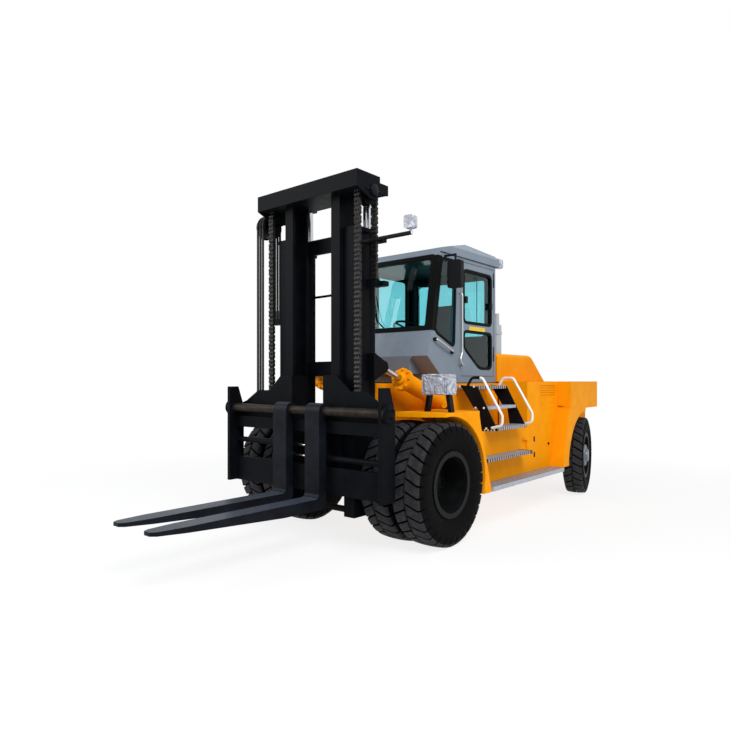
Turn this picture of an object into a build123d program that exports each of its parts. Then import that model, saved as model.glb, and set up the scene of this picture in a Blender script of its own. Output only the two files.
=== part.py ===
"""Heavy counterbalance forklift truck: dual front tyres, a two-stage mast, a fork carriage and a closed cab.

Lengths are in millimetres. +X points forward (to the fork tips), +Y to the driver's left, +Z up.
Pieces are made with X counted from the front axle. write() then moves each one so that the origin is
on the ground, in the middle of the truck's length.
"""
import os
from math import atan2, cos, degrees, hypot, radians, sin

from build123d import *

# Wheels and axles
TYRE_D = 1370
TYRE_W = 375
TREAD_W = 340
REAR_TYRE_D = 1225
REAR_TYRE_W = 315
REAR_TREAD_W = 284
TYRE_LUGS = 12
TYRE_SIDES = 16
LUG_DEPTH = 34
LUG_CORNERS = (0.0, 0.82, 0.85, 0.97)
RIM_SEAT_D = 660
RIM_FLANGE_H = 36
RIM_W = 330
REAR_RIM_W = 275
RIM_WALL = 20
WHEELBASE = 4100
REAR_AXLE = -WHEELBASE
FRONT_OUTER_Y = 1250
FRONT_INNER_Y = 820
FRONT_HUB_R = 230
SPINDLE_R = 100
AXLE_R = 150
BANJO_R = 260
REAR_Y = 1200
REAR_HUB_R = 170
REAR_SPINDLE_R = 70
KINGPIN_Y = 1000
KINGPIN_R = 45
AXLE_BEAM_W = 240
AXLE_BEAM_H = 230
YOKE_HALF = 120
YOKE_T = 50
STEER_REST = 13.0
FIT = 0.3
RUN_GAP = 6.0

# Frame and bodywork
SIDE_Y = 1400
FRAME_PLATE_Y = 340
FRAME_PLATE_T = 50
FRAME_TOP = 1700
FRAME_BOTTOM = 450
FRAME_BROW_X = 60
GIRDER_BOTTOM = 810
PLATFORM_TOP = 1785
PLATFORM_FRONT = -1060
PLATFORM_Y = 760
DECK_TOP = 1470
DECK_T = 55
DECK_INNER_Y = 790
DECK_FRONT = 100
DECK_FRONT_INNER = 210
FENDER_TOP_X = -610
FENDER_MID_X = -670
FENDER_FOOT_X = -906
SKIRT_BOTTOM = 480
SKIRT_TOE = 156
SHEET = 40
LINER_T = 16
FRONT_ARCH_R = 745
FRAME_KNEE_X = REAR_AXLE + 1250
PANEL_FOOT_X = REAR_AXLE + 1045
PANEL_TOP_X = REAR_AXLE + 800
TANK_Y = 1200
TANK_BOTTOM = 500
TANK_TOP = 1190
TREAD_T = 40
LOW_TREAD_REAR = REAR_AXLE + 1040
MID_TREAD_X = (-2030, -790)
MID_TREAD_Z = 840
BAY_FRONT = -2290
BAY_REAR = REAR_AXLE + 755
BODY_TOP = 1805
ARCH_TOP = 1385
REAR_ARCH_R = 770
REAR_ARCH_X = REAR_AXLE + 50
REAR_ARCH_Z = 560

# Counterweight
CW_FRONT = BAY_REAR - 5
CW_REAR = REAR_AXLE - 1100
CW_TAPER_X = REAR_AXLE - 550
CW_TAPER_Y = 1335
CW_REAR_Y = 1100
CW_SKIN = 30
CW_DROP_X = 270
CW_DROP_Y = 930
CW_DROP_Z = 600
WELL_R = 800
WELL_TOP = 1430
DUCT_HALF = 480
DUCT_Z = (860, 1600)
DUCT_DEPTH = 200
TOW_R = 25
TOW_BACK = 70
TOW_POCKET = (100, 130, 660, 780)

# Cab
CAB_HALF = 750
CAB_WALL = 50
CAB_TOP = 3450
CAB_REAR = -2200
CAB_TOE = (-775, 1890)
CAB_NOSE = (-480, 2130)
CAB_SILL = (-570, 2440)
CAB_BROW_X = -740
APRON_FOOT = ((-515, 1915), (-755, 1905))
APRON_HALF = 560
GLASS = 8
GLASS_SET = 18
PILLAR = 75
DOOR_FRONT = -1260
DOOR_REAR = -2150
DOOR_BOTTOM = 1880
DOOR_HEAD = 3400
DOOR_STILE = 75
DOOR_GLASS_SPLIT = (2480, 2600)
HINGE_R = 14
HINGE_H = 100
HINGE_Z = (2100, 3150)
ROOF_PEAK = (-1550, 3680)
ROOF_FRONT = (-785, 3505)
ROOF_REAR = (-2280, 3620)
ROOF_SIDE = 20

# Hood
HOOD_HALF = 750
HOOD_FRONT = -2250
HOOD_TOP = 2215
HOOD_REAR_TOP = REAR_AXLE + 770
HOOD_REAR = REAR_AXLE + 240
HOOD_WALL = 25
HOOD_ROUND = 55
STACK_XY = (-2520, 600)
STACK_R = 70
STACK_TOP = 2650
PIPE_R = 38
PIPE_TOP = 2820

# Mast
PIVOT_X = 360
PIVOT_Z = 500
PIVOT_R = 45
NOSE_R = 70
RAIL_IN_Y = 310
INNER_RAIL_W = 130
OUTER_RAIL_W = 150
RAIL_GAP = 10
RAIL_D = 260
RAIL_WALL = 35
RAIL_STEP = 60
OUTER_BOTTOM = 320
OUTER_TOP = 3520
OUTER_TIE_Z = ((1875, 2050), (OUTER_TOP - 180, OUTER_TOP))
COLLAR = 28
COLLAR_H = 45
INNER_BOTTOM = 620
HEAD_BOTTOM = 3870
HEAD_TOP = 4050
HEAD_HALF = 800
HEAD_FRONT = 885
HEAD_BEAM = 95
LIFT_Y = 483
LIFT_BARREL_R = 85
LIFT_ROD_R = 58
LIFT_FOOT = 950
LIFT_GAP = 25
SHEAVE_X = 610
SHEAVE_R = 140
SHEAVE_PIN_R = 35
CHAIN_Y = 695
CHAIN_W = 90
CHAIN_T = 50
CHAIN_PITCH = 304
CHAIN_WAIST = 9
CHAIN_ANCHOR_Z = 2950
HOSE_R = 18
HOSE_Y = 910
HOSE_PITCH = 48
HOSE_ANCHOR_Z = 2600
HOSE_DROP = 140
HANGER_T = 25

# Carriage and forks
CARRIAGE_HALF = 1230
CARRIAGE_BOTTOM = 590
CARRIAGE_TOP = 1750
CARRIAGE_REAR = 790
CARRIAGE_FRONT = 1010
END_PLATE = 45
BEAM_REAR = 830
BEAM_FRONT = 895
UPPER_BEAM_Z = (1250, 1385)
LOWER_BEAM_Z = (590, 880)
BACK_PLATE_T = 30
ROLLER_PLATE_T = 50
ROLLER_GAP = 5
SHAFT_R = 50
SHAFT_X = 925
SHAFT_Z = 1490
SHAFT_CAP_R = 88
FORK_FACE = 1015
FORK_LENGTH = 1950
FORK_T = 110
FORK_W = 220
FORK_Y = 262
FORK_BOTTOM = 430
FORK_TOP = 550
FORK_TIP_T = 35
FORK_EYE_R = 88
POSITIONER_X = 866
POSITIONER_Z = (1095, 975)
POSITIONER_R = 32
POSITIONER_ROD_R = 20
POSITIONER_END_Y = 100

# Tilt cylinders
TILT_Y = 650
TILT_EYE = (316, 1977)
TILT_PIN = (-957, 1550)
TILT_BARREL_R = 105
TILT_FLANGE_R = 135
TILT_ROD_R = 35
TILT_PIN_R = 40
TILT_EYE_R = 72
TILT_EYE_W = 80
TILT_EYE_SLACK = 12
TILT_GLAND = 420

# Ladder and lamps
LADDER_X = (-1880, -1080)
LADDER_FOOT_Y = (1150, 1385)
LADDER_TOP_Y = (850, 1100)
LADDER_TOP_Z = 1765
LADDER_PLATE = 14
RAIL_R = 17
RAIL_OUT = 70
RAIL_UP = 93
RAIL_BEND = 60
MAST_LAMP_Y = (1235, 1345)
LAMP_Y = (1035, 1335)
LAMP_X = (-180, 20)
LAMP_Z = (1680, 1878)

FRONT_REACH = FORK_FACE + FORK_LENGTH
ORIGIN_SHIFT = -(FRONT_REACH + CW_REAR) / 2
TYRE_R = TYRE_D / 2
REAR_R = REAR_TYRE_D / 2
RIM_R = RIM_SEAT_D / 2
FRAME_OUT_Y = FRAME_PLATE_Y + FRAME_PLATE_T
INNER_RAIL_Y = (RAIL_IN_Y, RAIL_IN_Y + INNER_RAIL_W)
OUTER_RAIL_Y = (INNER_RAIL_Y[1] + RAIL_GAP, INNER_RAIL_Y[1] + RAIL_GAP + OUTER_RAIL_W)
OUTER_RAIL_X = (PIVOT_X + NOSE_R + 2 * RUN_GAP, PIVOT_X + NOSE_R + 2 * RUN_GAP + RAIL_D)
INNER_RAIL_X = (OUTER_RAIL_X[0] + RAIL_STEP, OUTER_RAIL_X[1] + RAIL_STEP)
LIFT_X = OUTER_RAIL_X[0] - LIFT_BARREL_R - LIFT_GAP
SHEAVE_Z = HEAD_BOTTOM + 10
HOSE_SHEAVE_Z = SHEAVE_Z - HOSE_DROP
ROD_TOP = HEAD_TOP - 130
HUB_INNER = FRONT_INNER_Y + RIM_W / 2 - 40
HUB_OUTER = FRONT_OUTER_Y - RIM_W / 2 + 30
SPINDLE_END = HUB_OUTER - 40
REAR_HUB = (REAR_Y - 60, REAR_Y + 70)
REAR_SPINDLE_END = REAR_Y + 40
HINGE_X = DOOR_REAR
HINGE_Y = CAB_HALF + 5
HOOD_BASE = BODY_TOP + FIT
HOOD_HINGE = (HOOD_REAR - 16, BODY_TOP + HINGE_R)
CAB_BASE = PLATFORM_TOP + 10


def block(x, y, z):
    """A box from its limits along each axis."""
    limits = [sorted(span) for span in (x, y, z)]
    size = [hi - lo for lo, hi in limits]
    middle = [(lo + hi) / 2 for lo, hi in limits]
    return Pos(*middle) * Box(*size)


def plate_xz(points, y0, y1):
    """A side outline in X and Z, given its thickness along Y."""
    face = make_face(Polyline(*[(x, y0, z) for x, z in points], close=True))
    return extrude(face, amount=y1 - y0, dir=(0, 1, 0))


def plate_yz(points, x0, x1):
    """A front outline in Y and Z, given its thickness along X."""
    face = make_face(Polyline(*[(x0, y, z) for y, z in points], close=True))
    return extrude(face, amount=x1 - x0, dir=(1, 0, 0))


def plate_xy(points, z0, z1):
    """A plan outline in X and Y, given its height along Z."""
    face = make_face(Polyline(*[(x, y, z0) for x, y in points], close=True))
    return extrude(face, amount=z1 - z0, dir=(0, 0, 1))


def inset_xz(points, y0, y1, gap):
    """A side outline drawn in by a gap on every edge, given its thickness along Y."""
    flat = make_face(Polyline(*points, close=True))
    flat = offset(flat, amount=-gap, kind=Kind.INTERSECTION)
    upright = Plane(origin=(0, y0, 0), x_dir=(1, 0, 0), z_dir=(0, -1, 0)) * flat
    return extrude(upright, amount=y1 - y0, dir=(0, 1, 0))


def bar(start, end, radius):
    """A round bar between two points."""
    way = Vector(*end) - Vector(*start)
    base = Plane(origin=start, z_dir=way)
    return base * Cylinder(radius, way.length, align=(Align.CENTER, Align.CENTER, Align.MIN))


def tube(start, end, outer, inner):
    """A round tube between two points."""
    return bar(start, end, outer) - bar(start, end, inner)


def bent_bar(points, radius, bend):
    """A round bar along straight runs joined by equal bends."""
    path = FilletPolyline(*points, radius=bend)
    profile = Plane(origin=path @ 0, z_dir=path % 0) * Circle(radius)
    return sweep(profile, path=path)


def disc(radius, y0, y1):
    """A round plate about the Y axis."""
    return bar((0, y0, 0), (0, y1, 0), radius)


def lug(at, radius, y0, y1):
    """A round boss across the truck at a point in X and Z."""
    return bar((at[0], y0, at[1]), (at[0], y1, at[1]), radius)


def edges_near(shape, x, z):
    """The cross-wise edges of a piece that lie at a point of its side outline."""
    return [e for e in shape.edges().filter_by(Axis.Y) if hypot(e.center().X - x, e.center().Z - z) < 1]


def mirrored(shape):
    """The same piece on the other side of the truck."""
    return mirror(shape, about=Plane.XZ)


def write(name, shape):
    """Moves a piece, or a list of like pieces, to the truck's origin and saves it."""
    pieces = shape if isinstance(shape, list) else [shape]
    moved = [solid for piece in pieces for solid in (Pos(ORIGIN_SHIFT, 0, 0) * piece).solids()]
    export_step(Compound(children=moved), f"parts/{name}.step")


# Wheels and axles


def polygon_face(radii, turn, y):
    """A closed ring of corners about the Y axis, at one place along it; the radii repeat round the ring."""
    count = len(radii) * TYRE_LUGS
    steps = [turn + 360 / TYRE_LUGS * (n // len(radii) + LUG_CORNERS[n % len(radii)]) for n in range(count)]
    corners = [
        (radii[n % len(radii)] * sin(radians(a)), y, radii[n % len(radii)] * cos(radians(a)))
        for n, a in enumerate(steps)
    ]
    return make_face(Polyline(*corners, close=True))


def tyre_ring(radius, y):
    """The corners of a many-sided ring about the Y axis, at one place along it."""
    angles = [radians(360 / TYRE_SIDES * n) for n in range(TYRE_SIDES)]
    return [(radius * sin(a), y, radius * cos(a)) for a in angles]


def frustum(radius0, y0, radius1, y1):
    """A many-sided frustum about the Y axis with flat facets."""
    near, far = tyre_ring(radius0, y0), tyre_ring(radius1, y1)
    facets = [
        make_face(Polyline(near[n - 1], near[n], far[n], far[n - 1], close=True)) for n in range(TYRE_SIDES)
    ]
    ends = [make_face(Polyline(*ring, close=True)) for ring in (near, far)]
    return Solid(Shell(facets + ends))


def tyre(diameter, width, tread, rim_w):
    """A tyre about the Y axis: two staggered rows of lugs between a pair of bulged side walls."""
    bead_y = rim_w / 2 - 17
    flange = RIM_R + RIM_FLANGE_H + 6
    crown = diameter / 2
    root = crown - LUG_DEPTH
    waist = (flange + root) / 2
    side = extrude(polygon_face([crown, crown, root, root], 0, 0), amount=tread / 2, dir=(0, 1, 0))
    side += frustum(root - 4, tread / 2, waist, width / 2)
    side -= frustum(flange, bead_y, waist, width / 2)
    other = mirrored(side).rotate(Axis.Y, 180 / TYRE_LUGS)
    seat = (RIM_R + FIT) / cos(radians(180 / TYRE_SIDES))
    return side + other - frustum(seat, -width, seat, width)


def rim_barrel(rim_w):
    """A rim's barrel with a flange at each edge, about the Y axis."""
    half = rim_w / 2
    lip = 15
    top = RIM_R + RIM_FLANGE_H
    inner = RIM_R - RIM_WALL
    points = [
        (inner, -half), (top, -half), (top, lip - half), (RIM_R, lip - half),
        (RIM_R, half - lip), (top, half - lip), (top, half), (inner, half),
    ]
    return revolve(make_face(Polyline(*points, close=True)), axis=Axis.Y)


def front_tyres():
    """The left pair of front tyres."""
    shape = tyre(TYRE_D, TYRE_W, TREAD_W, RIM_W)
    return [Pos(0, y, TYRE_R) * shape for y in (FRONT_OUTER_Y, FRONT_INNER_Y)]


def front_rims():
    """The left pair of front rims, both bolted to one hub."""
    web_r = RIM_R - RIM_WALL + 2
    wheel = disc(FRONT_HUB_R, HUB_INNER, HUB_OUTER)
    wheel += disc(web_r, HUB_INNER + 15, HUB_INNER + 37)
    wheel += disc(web_r, HUB_OUTER - 27, HUB_OUTER - 5)
    wheel += disc(FRONT_HUB_R - 95, HUB_OUTER, HUB_OUTER + 60)
    wheel += Pos(0, FRONT_OUTER_Y, 0) * rim_barrel(RIM_W)
    wheel += Pos(0, FRONT_INNER_Y, 0) * rim_barrel(RIM_W)
    wheel -= disc(SPINDLE_R + FIT, HUB_INNER - 1, SPINDLE_END + RUN_GAP)
    return Pos(0, 0, TYRE_R) * wheel


def rear_tyre():
    """The left rear tyre, pointing straight ahead."""
    return Pos(REAR_AXLE, REAR_Y, REAR_R) * tyre(REAR_TYRE_D, REAR_TYRE_W, REAR_TREAD_W, REAR_RIM_W)


def rear_rim():
    """The left rear rim and hub, pointing straight ahead."""
    wheel = Pos(0, REAR_Y, 0) * rim_barrel(REAR_RIM_W)
    wheel += disc(REAR_HUB_R, *REAR_HUB)
    wheel += disc(RIM_R - RIM_WALL + 2, REAR_HUB[1] - 30, REAR_HUB[1] - 8)
    wheel += disc(REAR_HUB_R - 60, REAR_HUB[1], REAR_HUB[1] + 60)
    wheel -= disc(REAR_SPINDLE_R + FIT, REAR_HUB[0] - 1, REAR_SPINDLE_END + RUN_GAP)
    return Pos(REAR_AXLE, 0, REAR_R) * wheel


def knuckle():
    """The left steering knuckle: a block on the kingpin that carries the wheel's spindle."""
    half = YOKE_HALF - RUN_GAP / 2
    shoulder = KINGPIN_Y + 95
    body = block(
        (REAR_AXLE - 75, REAR_AXLE + 75), (KINGPIN_Y - 70, shoulder), (REAR_R - half, REAR_R + half),
    )
    axle = Pos(REAR_AXLE, 0, REAR_R)
    body += axle * disc(REAR_SPINDLE_R + 45, shoulder - 5, REAR_HUB[0] - RUN_GAP)
    body += axle * disc(REAR_SPINDLE_R, shoulder - 5, REAR_SPINDLE_END)
    reach = YOKE_HALF + YOKE_T
    line = [(REAR_AXLE, KINGPIN_Y, REAR_R + z) for z in (-reach, reach)]
    return body - bar(*line, KINGPIN_R + FIT)


def steered(shape, side):
    """A straight left piece (side 1) or its mirror image (side -1), turned to the parked steering angle."""
    placed = shape if side > 0 else mirrored(shape)
    return placed.rotate(Axis((REAR_AXLE, side * KINGPIN_Y, 0), (0, 0, 1)), STEER_REST)


def front_axle():
    """The drive axle: a banjo housing with a brake and a spindle at each end."""
    root = FRONT_INNER_Y - TYRE_W / 2 - 20
    body = disc(AXLE_R, -root, root) + disc(BANJO_R, -190, 190)
    end = disc(AXLE_R + 40, root - 1, HUB_INNER - RUN_GAP) + disc(SPINDLE_R, root, SPINDLE_END)
    return Pos(0, 0, TYRE_R) * (body + end + mirrored(end))


def rear_axle():
    """The steer axle: a box beam under the frame, with a yoke and a kingpin at each end."""
    x = (REAR_AXLE - AXLE_BEAM_W / 2, REAR_AXLE + AXLE_BEAM_W / 2)
    root = KINGPIN_Y - 110
    body = block(x, (-root, root), (REAR_R - AXLE_BEAM_H / 2, REAR_R + AXLE_BEAM_H / 2))
    body += block(x, (-200, 200), (REAR_R, GIRDER_BOTTOM))
    yoke_x = (REAR_AXLE - 90, REAR_AXLE + 90)
    reach = YOKE_HALF + YOKE_T
    end = block(yoke_x, (root - 120, root), (REAR_R - reach, REAR_R + reach))
    for z in (REAR_R - reach, REAR_R + YOKE_HALF):
        end += block(yoke_x, (root - 1, KINGPIN_Y), (z, z + YOKE_T))
        end += bar((REAR_AXLE, KINGPIN_Y, z), (REAR_AXLE, KINGPIN_Y, z + YOKE_T), 90)
    end += bar(
        (REAR_AXLE, KINGPIN_Y, REAR_R - reach - 8), (REAR_AXLE, KINGPIN_Y, REAR_R + reach + 8),
        KINGPIN_R,
    )
    return body + end + mirrored(end)


# Frame and bodywork


def frame():
    """The welded frame: two long plates, cross members, a rear girder and the pins of mast and cylinders."""
    outline = [
        (PIVOT_X, PIVOT_Z - NOSE_R), (PIVOT_X, PIVOT_Z + NOSE_R), (FRAME_BROW_X, FRAME_TOP),
        (BAY_FRONT, FRAME_TOP), (BAY_FRONT, ARCH_TOP), (BAY_REAR, ARCH_TOP),
        (BAY_REAR, GIRDER_BOTTOM), (FRAME_KNEE_X, FRAME_BOTTOM), (-AXLE_R - 100, FRAME_BOTTOM),
    ]
    side = plate_xz(outline, FRAME_PLATE_Y, FRAME_OUT_Y)
    side += lug((PIVOT_X, PIVOT_Z), NOSE_R, FRAME_PLATE_Y, FRAME_OUT_Y)
    side += lug((PIVOT_X, PIVOT_Z), PIVOT_R, FRAME_PLATE_Y, OUTER_RAIL_Y[1] - 10)
    bracket_y = TILT_Y - TILT_EYE_W / 2 - RUN_GAP
    side += block(
        (TILT_PIN[0] - 110, TILT_PIN[0] + TILT_PIN_R + 5), (FRAME_OUT_Y - 1, bracket_y),
        (TILT_PIN[1] - 160, FRAME_TOP),
    )
    side += lug(TILT_PIN, TILT_PIN_R, bracket_y - 1, TILT_Y + TILT_EYE_W / 2 + RUN_GAP)
    side -= bar((0, 0, TYRE_R), (0, SIDE_Y, TYRE_R), AXLE_R + FIT)
    body = side + mirrored(side)
    inner = FRAME_PLATE_Y + 1
    for x, z in ((-600, GIRDER_BOTTOM), (-1500, FRAME_BOTTOM), (BAY_FRONT + 90, FRAME_BOTTOM)):
        body += block((x - 60, x), (-inner, inner), (z, FRAME_TOP))
    for x in ENGINE_FEET:
        body += block((x - 80, x), (-inner, inner), (ENGINE_BOTTOM - 90, ENGINE_BOTTOM))
    body += block(
        (CW_REAR + CW_DROP_X, BAY_REAR + 150), (-FRAME_PLATE_Y - 10, FRAME_PLATE_Y + 10),
        (GIRDER_BOTTOM, ARCH_TOP),
    )
    body += block(
        (PLATFORM_FRONT + 200, FRAME_BROW_X), (-FRAME_OUT_Y, FRAME_OUT_Y),
        (FRAME_TOP - 1, PLATFORM_TOP),
    )
    return body


ENGINE_BOTTOM = 900
ENGINE_X = (BAY_REAR + 165, BAY_FRONT - 130)
ENGINE_FEET = (ENGINE_X[1] - 40, ENGINE_X[0] + 140)


def engine():
    """The engine as one block on its two cross members."""
    half = FRAME_PLATE_Y - 20
    return block(ENGINE_X, (-half, half), (ENGINE_BOTTOM, FRAME_TOP - 10))


def cab_platform():
    """The cab's floor frame: a deck on the frame plates with a wall down to each tank."""
    deck_x = (BAY_FRONT, PLATFORM_FRONT + 200)
    deck = block(deck_x, (-PLATFORM_Y, PLATFORM_Y), (FRAME_TOP, PLATFORM_TOP))
    deck -= block((PLATFORM_FRONT, 0), (-FRAME_OUT_Y, FRAME_OUT_Y), (FRAME_TOP - 1, PLATFORM_TOP + 1))
    deck -= block((PLATFORM_FRONT, 0), (TILT_Y - TILT_BARREL_R - 60, SIDE_Y), (0, FRAME_TOP + 40))
    deck -= block((PLATFORM_FRONT, 0), (-SIDE_Y, -TILT_Y + TILT_BARREL_R + 60), (0, FRAME_TOP + 40))
    wall = block(
        (BAY_FRONT, PLATFORM_FRONT), (PLATFORM_Y - SHEET - 20, PLATFORM_Y - 20),
        (TANK_TOP, FRAME_TOP + 1),
    )
    return deck + wall + mirrored(wall)


def fender():
    """The left front fender: a deck, a side skirt with its arch, a liner over both tyres and a rear wall."""
    top = DECK_TOP - DECK_T + 1
    toe = FENDER_FOOT_X + SKIRT_TOE
    edge = [(FENDER_TOP_X, top), (FENDER_MID_X, TANK_TOP), (FENDER_FOOT_X, SKIRT_BOTTOM)]
    arch = bar((0, 0, TYRE_R), (0, SIDE_Y + 1, TYRE_R), FRONT_ARCH_R)
    deck = plate_xy(
        [
            (DECK_FRONT, SIDE_Y), (DECK_FRONT_INNER, DECK_INNER_Y), (FENDER_TOP_X, DECK_INNER_Y),
            (FENDER_TOP_X, SIDE_Y),
        ],
        DECK_TOP - DECK_T, DECK_TOP,
    )
    outline = [(0, top), *edge, (toe, SKIRT_BOTTOM), (toe, TYRE_R), (0, TYRE_R)]
    skirt = plate_xz(outline, SIDE_Y - SHEET, SIDE_Y)
    liner = tube((0, DECK_INNER_Y, TYRE_R), (0, SIDE_Y, TYRE_R), FRONT_ARCH_R + LINER_T, FRONT_ARCH_R)
    liner &= block((FENDER_FOOT_X, 0), (0, SIDE_Y), (SKIRT_BOTTOM, DECK_TOP - 1))
    wall = plate_xz(edge + [(x + LINER_T, z) for x, z in reversed(edge)], FRAME_OUT_Y, SIDE_Y)
    return (deck + skirt - arch) + liner + (wall - arch)


def fender_x(z):
    """The slanted rear edge of the front fender at a height below the tank's top."""
    share = (z - SKIRT_BOTTOM) / (TANK_TOP - SKIRT_BOTTOM)
    return FENDER_FOOT_X + share * (FENDER_MID_X - FENDER_FOOT_X)


def panel_x(z):
    """The slanted front edge of the panel ahead of the rear wheel at a height."""
    share = (z - PANEL_Z[0]) / (PANEL_Z[1] - PANEL_Z[0])
    return PANEL_FOOT_X + share * (PANEL_TOP_X - PANEL_FOOT_X)


def side_tank():
    """The left tank between the wheels, slanted at both ends like what it meets."""
    outline = [(panel_x(z), z) for z in (TANK_BOTTOM, TANK_TOP)]
    outline += [(fender_x(z), z) for z in (TANK_TOP, TANK_BOTTOM)]
    return plate_xz(outline, FRAME_OUT_Y, TANK_Y)


def side_treads():
    """The two left treads set into the side below the ladder."""
    front = FENDER_FOOT_X
    low = block((LOW_TREAD_REAR, front), (TANK_Y, SIDE_Y), (TANK_BOTTOM, TANK_BOTTOM + TREAD_T))
    low += block(
        (LOW_TREAD_REAR + 10, front), (SIDE_Y - 1, SIDE_Y + 20),
        (TANK_BOTTOM - 15, TANK_BOTTOM + TREAD_T),
    )
    middle = block(MID_TREAD_X, (TANK_Y, SIDE_Y - 10), (MID_TREAD_Z, MID_TREAD_Z + TREAD_T))
    return [low, middle]


LOUVRE_X = (BAY_REAR + 70, BAY_FRONT - 420)
LOUVRE_Z = (1475, 1750)
LOUVRE_SINK = 12
LOUVRES = 4
LOUVRE_PITCH = 34
PANEL_Z = (TANK_BOTTOM + TREAD_T, ARCH_TOP - FIT)


def louvre_panel():
    """What is cut from the left wall of the engine compartment: a sunk panel, but for its raised louvres."""
    cut = block(LOUVRE_X, (TANK_Y - LOUVRE_SINK, TANK_Y + 1), LOUVRE_Z)
    for n in range(LOUVRES):
        z = LOUVRE_Z[1] - (n + 1) * LOUVRE_PITCH
        cut -= plate_yz(
            [(TANK_Y - LOUVRE_SINK - 1, z + 22), (TANK_Y - 1, z), (TANK_Y - LOUVRE_SINK - 1, z)],
            LOUVRE_X[0] + 15, LOUVRE_X[1] - 15,
        )
    return cut


def body_side():
    """The left side of the engine compartment: its wall, its deck and the panel ahead of the rear wheel."""
    wall_y = (TANK_Y - 20, TANK_Y)
    body = block((BAY_REAR, BAY_FRONT), wall_y, (TANK_TOP, BODY_TOP)) - louvre_panel()
    body += block((BAY_REAR, BAY_FRONT), (HOOD_HALF + RUN_GAP, TANK_Y), (BODY_TOP - 25, BODY_TOP))
    body += block((BAY_FRONT - 20, BAY_FRONT), (PLATFORM_Y, TANK_Y), (TANK_TOP, BODY_TOP))
    panel = plate_xz(
        [
            (PANEL_FOOT_X, PANEL_Z[0]), (PANEL_TOP_X, PANEL_Z[1]), (REAR_ARCH_X, PANEL_Z[1]),
            (REAR_ARCH_X, PANEL_Z[0]),
        ],
        0, SIDE_Y,
    )
    panel &= plate_xy(
        [
            (PANEL_FOOT_X, SIDE_Y - SHEET), (PANEL_FOOT_X, SIDE_Y), (CW_FRONT, SIDE_Y),
            (CW_TAPER_X, CW_TAPER_Y), (CW_TAPER_X, CW_TAPER_Y - SHEET), (CW_FRONT, SIDE_Y - SHEET),
        ],
        0, BODY_TOP,
    )
    panel -= bar((REAR_ARCH_X, 0, REAR_ARCH_Z), (REAR_ARCH_X, SIDE_Y + 1, REAR_ARCH_Z), REAR_ARCH_R)
    face = [(panel_x(z), z) for z in PANEL_Z]
    panel += plate_xz(face + [(x - SHEET, z) for x, z in reversed(face)], TANK_Y - 1, SIDE_Y - 1)
    body += panel
    return body + block((BAY_REAR, PANEL_TOP_X), (TANK_Y - 1, SIDE_Y), (PANEL_Z[1] - 1, ARCH_TOP + 30))


def counterweight():
    """The cast counterweight: a tapered block with two wheel wells, a radiator duct and a tow pocket."""
    half = [(CW_FRONT, SIDE_Y), (CW_TAPER_X, CW_TAPER_Y), (CW_REAR, CW_REAR_Y)]
    plan = half + [(x, -y) for x, y in reversed(half)]
    body = plate_xy(plan, ARCH_TOP, BODY_TOP)
    body += block((CW_REAR, CW_REAR + CW_DROP_X), (-CW_DROP_Y, CW_DROP_Y), (CW_DROP_Z, ARCH_TOP + 1))
    inside = [(x, y - CW_SKIN) for x, y in half]
    inside += [(x, -y) for x, y in reversed(inside)]
    core = plate_xy(inside, ARCH_TOP - 1, WELL_TOP)
    for side in (1, -1):
        well = bar(
            (REAR_AXLE, side * KINGPIN_Y, ARCH_TOP - 1), (REAR_AXLE, side * KINGPIN_Y, WELL_TOP),
            WELL_R,
        )
        body -= well & core
    body -= block((CW_REAR - 1, CW_REAR + DUCT_DEPTH), (-DUCT_HALF, DUCT_HALF), DUCT_Z)
    half_y, depth, z0, z1 = TOW_POCKET
    body -= block((CW_REAR - 1, CW_REAR + depth), (-half_y, half_y), (z0, z1))
    tow_x = CW_REAR + TOW_BACK
    body -= bar((tow_x, 0, CW_DROP_Z - 1), (tow_x, 0, z1 + 40), TOW_R)
    for y in (-500, 500):
        body += lug(HOOD_HINGE, HINGE_R, y - 60, y + 60)
        body += block(
            (HOOD_HINGE[0] - HINGE_R, HOOD_HINGE[0]), (y - 60, y + 60), (BODY_TOP - 1, HOOD_HINGE[1]),
        )
    return body


GRILLE_BARS = 9
GRILLE_RIM = 40
GRILLE_BAR = 28


def radiator_grille():
    """The grille in the counterweight's duct: a frame with upright bars."""
    x = (CW_REAR + 30, CW_REAR + 60)
    half = DUCT_HALF - FIT
    z = (DUCT_Z[0] + FIT, DUCT_Z[1] - FIT)
    grille = block(x, (-half, half), z)
    open_half = half - GRILLE_RIM
    slot = (2 * open_half - GRILLE_BARS * GRILLE_BAR) / (GRILLE_BARS + 1)
    for n in range(GRILLE_BARS + 1):
        y = -open_half + n * (slot + GRILLE_BAR)
        grille -= block((x[0] - 1, x[1] + 1), (y, y + slot), (z[0] + GRILLE_RIM, z[1] - GRILLE_RIM))
    return grille


def ladder():
    """The boarding ladder's two slanted side plates."""
    foot, top = LADDER_FOOT_Y, LADDER_TOP_Y
    mid_z = (TANK_TOP + LADDER_TOP_Z) / 2
    outline = [
        (foot[0], TANK_TOP), (foot[1], TANK_TOP + 10), (top[1], LADDER_TOP_Z - 20), (top[0], LADDER_TOP_Z),
        (foot[0] - 110, mid_z + 10), (foot[0] - 45, mid_z),
    ]
    rear = plate_yz(outline, LADDER_X[0], LADDER_X[0] + LADDER_PLATE)
    return [rear, plate_yz(outline, LADDER_X[1] - LADDER_PLATE, LADDER_X[1])]


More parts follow.
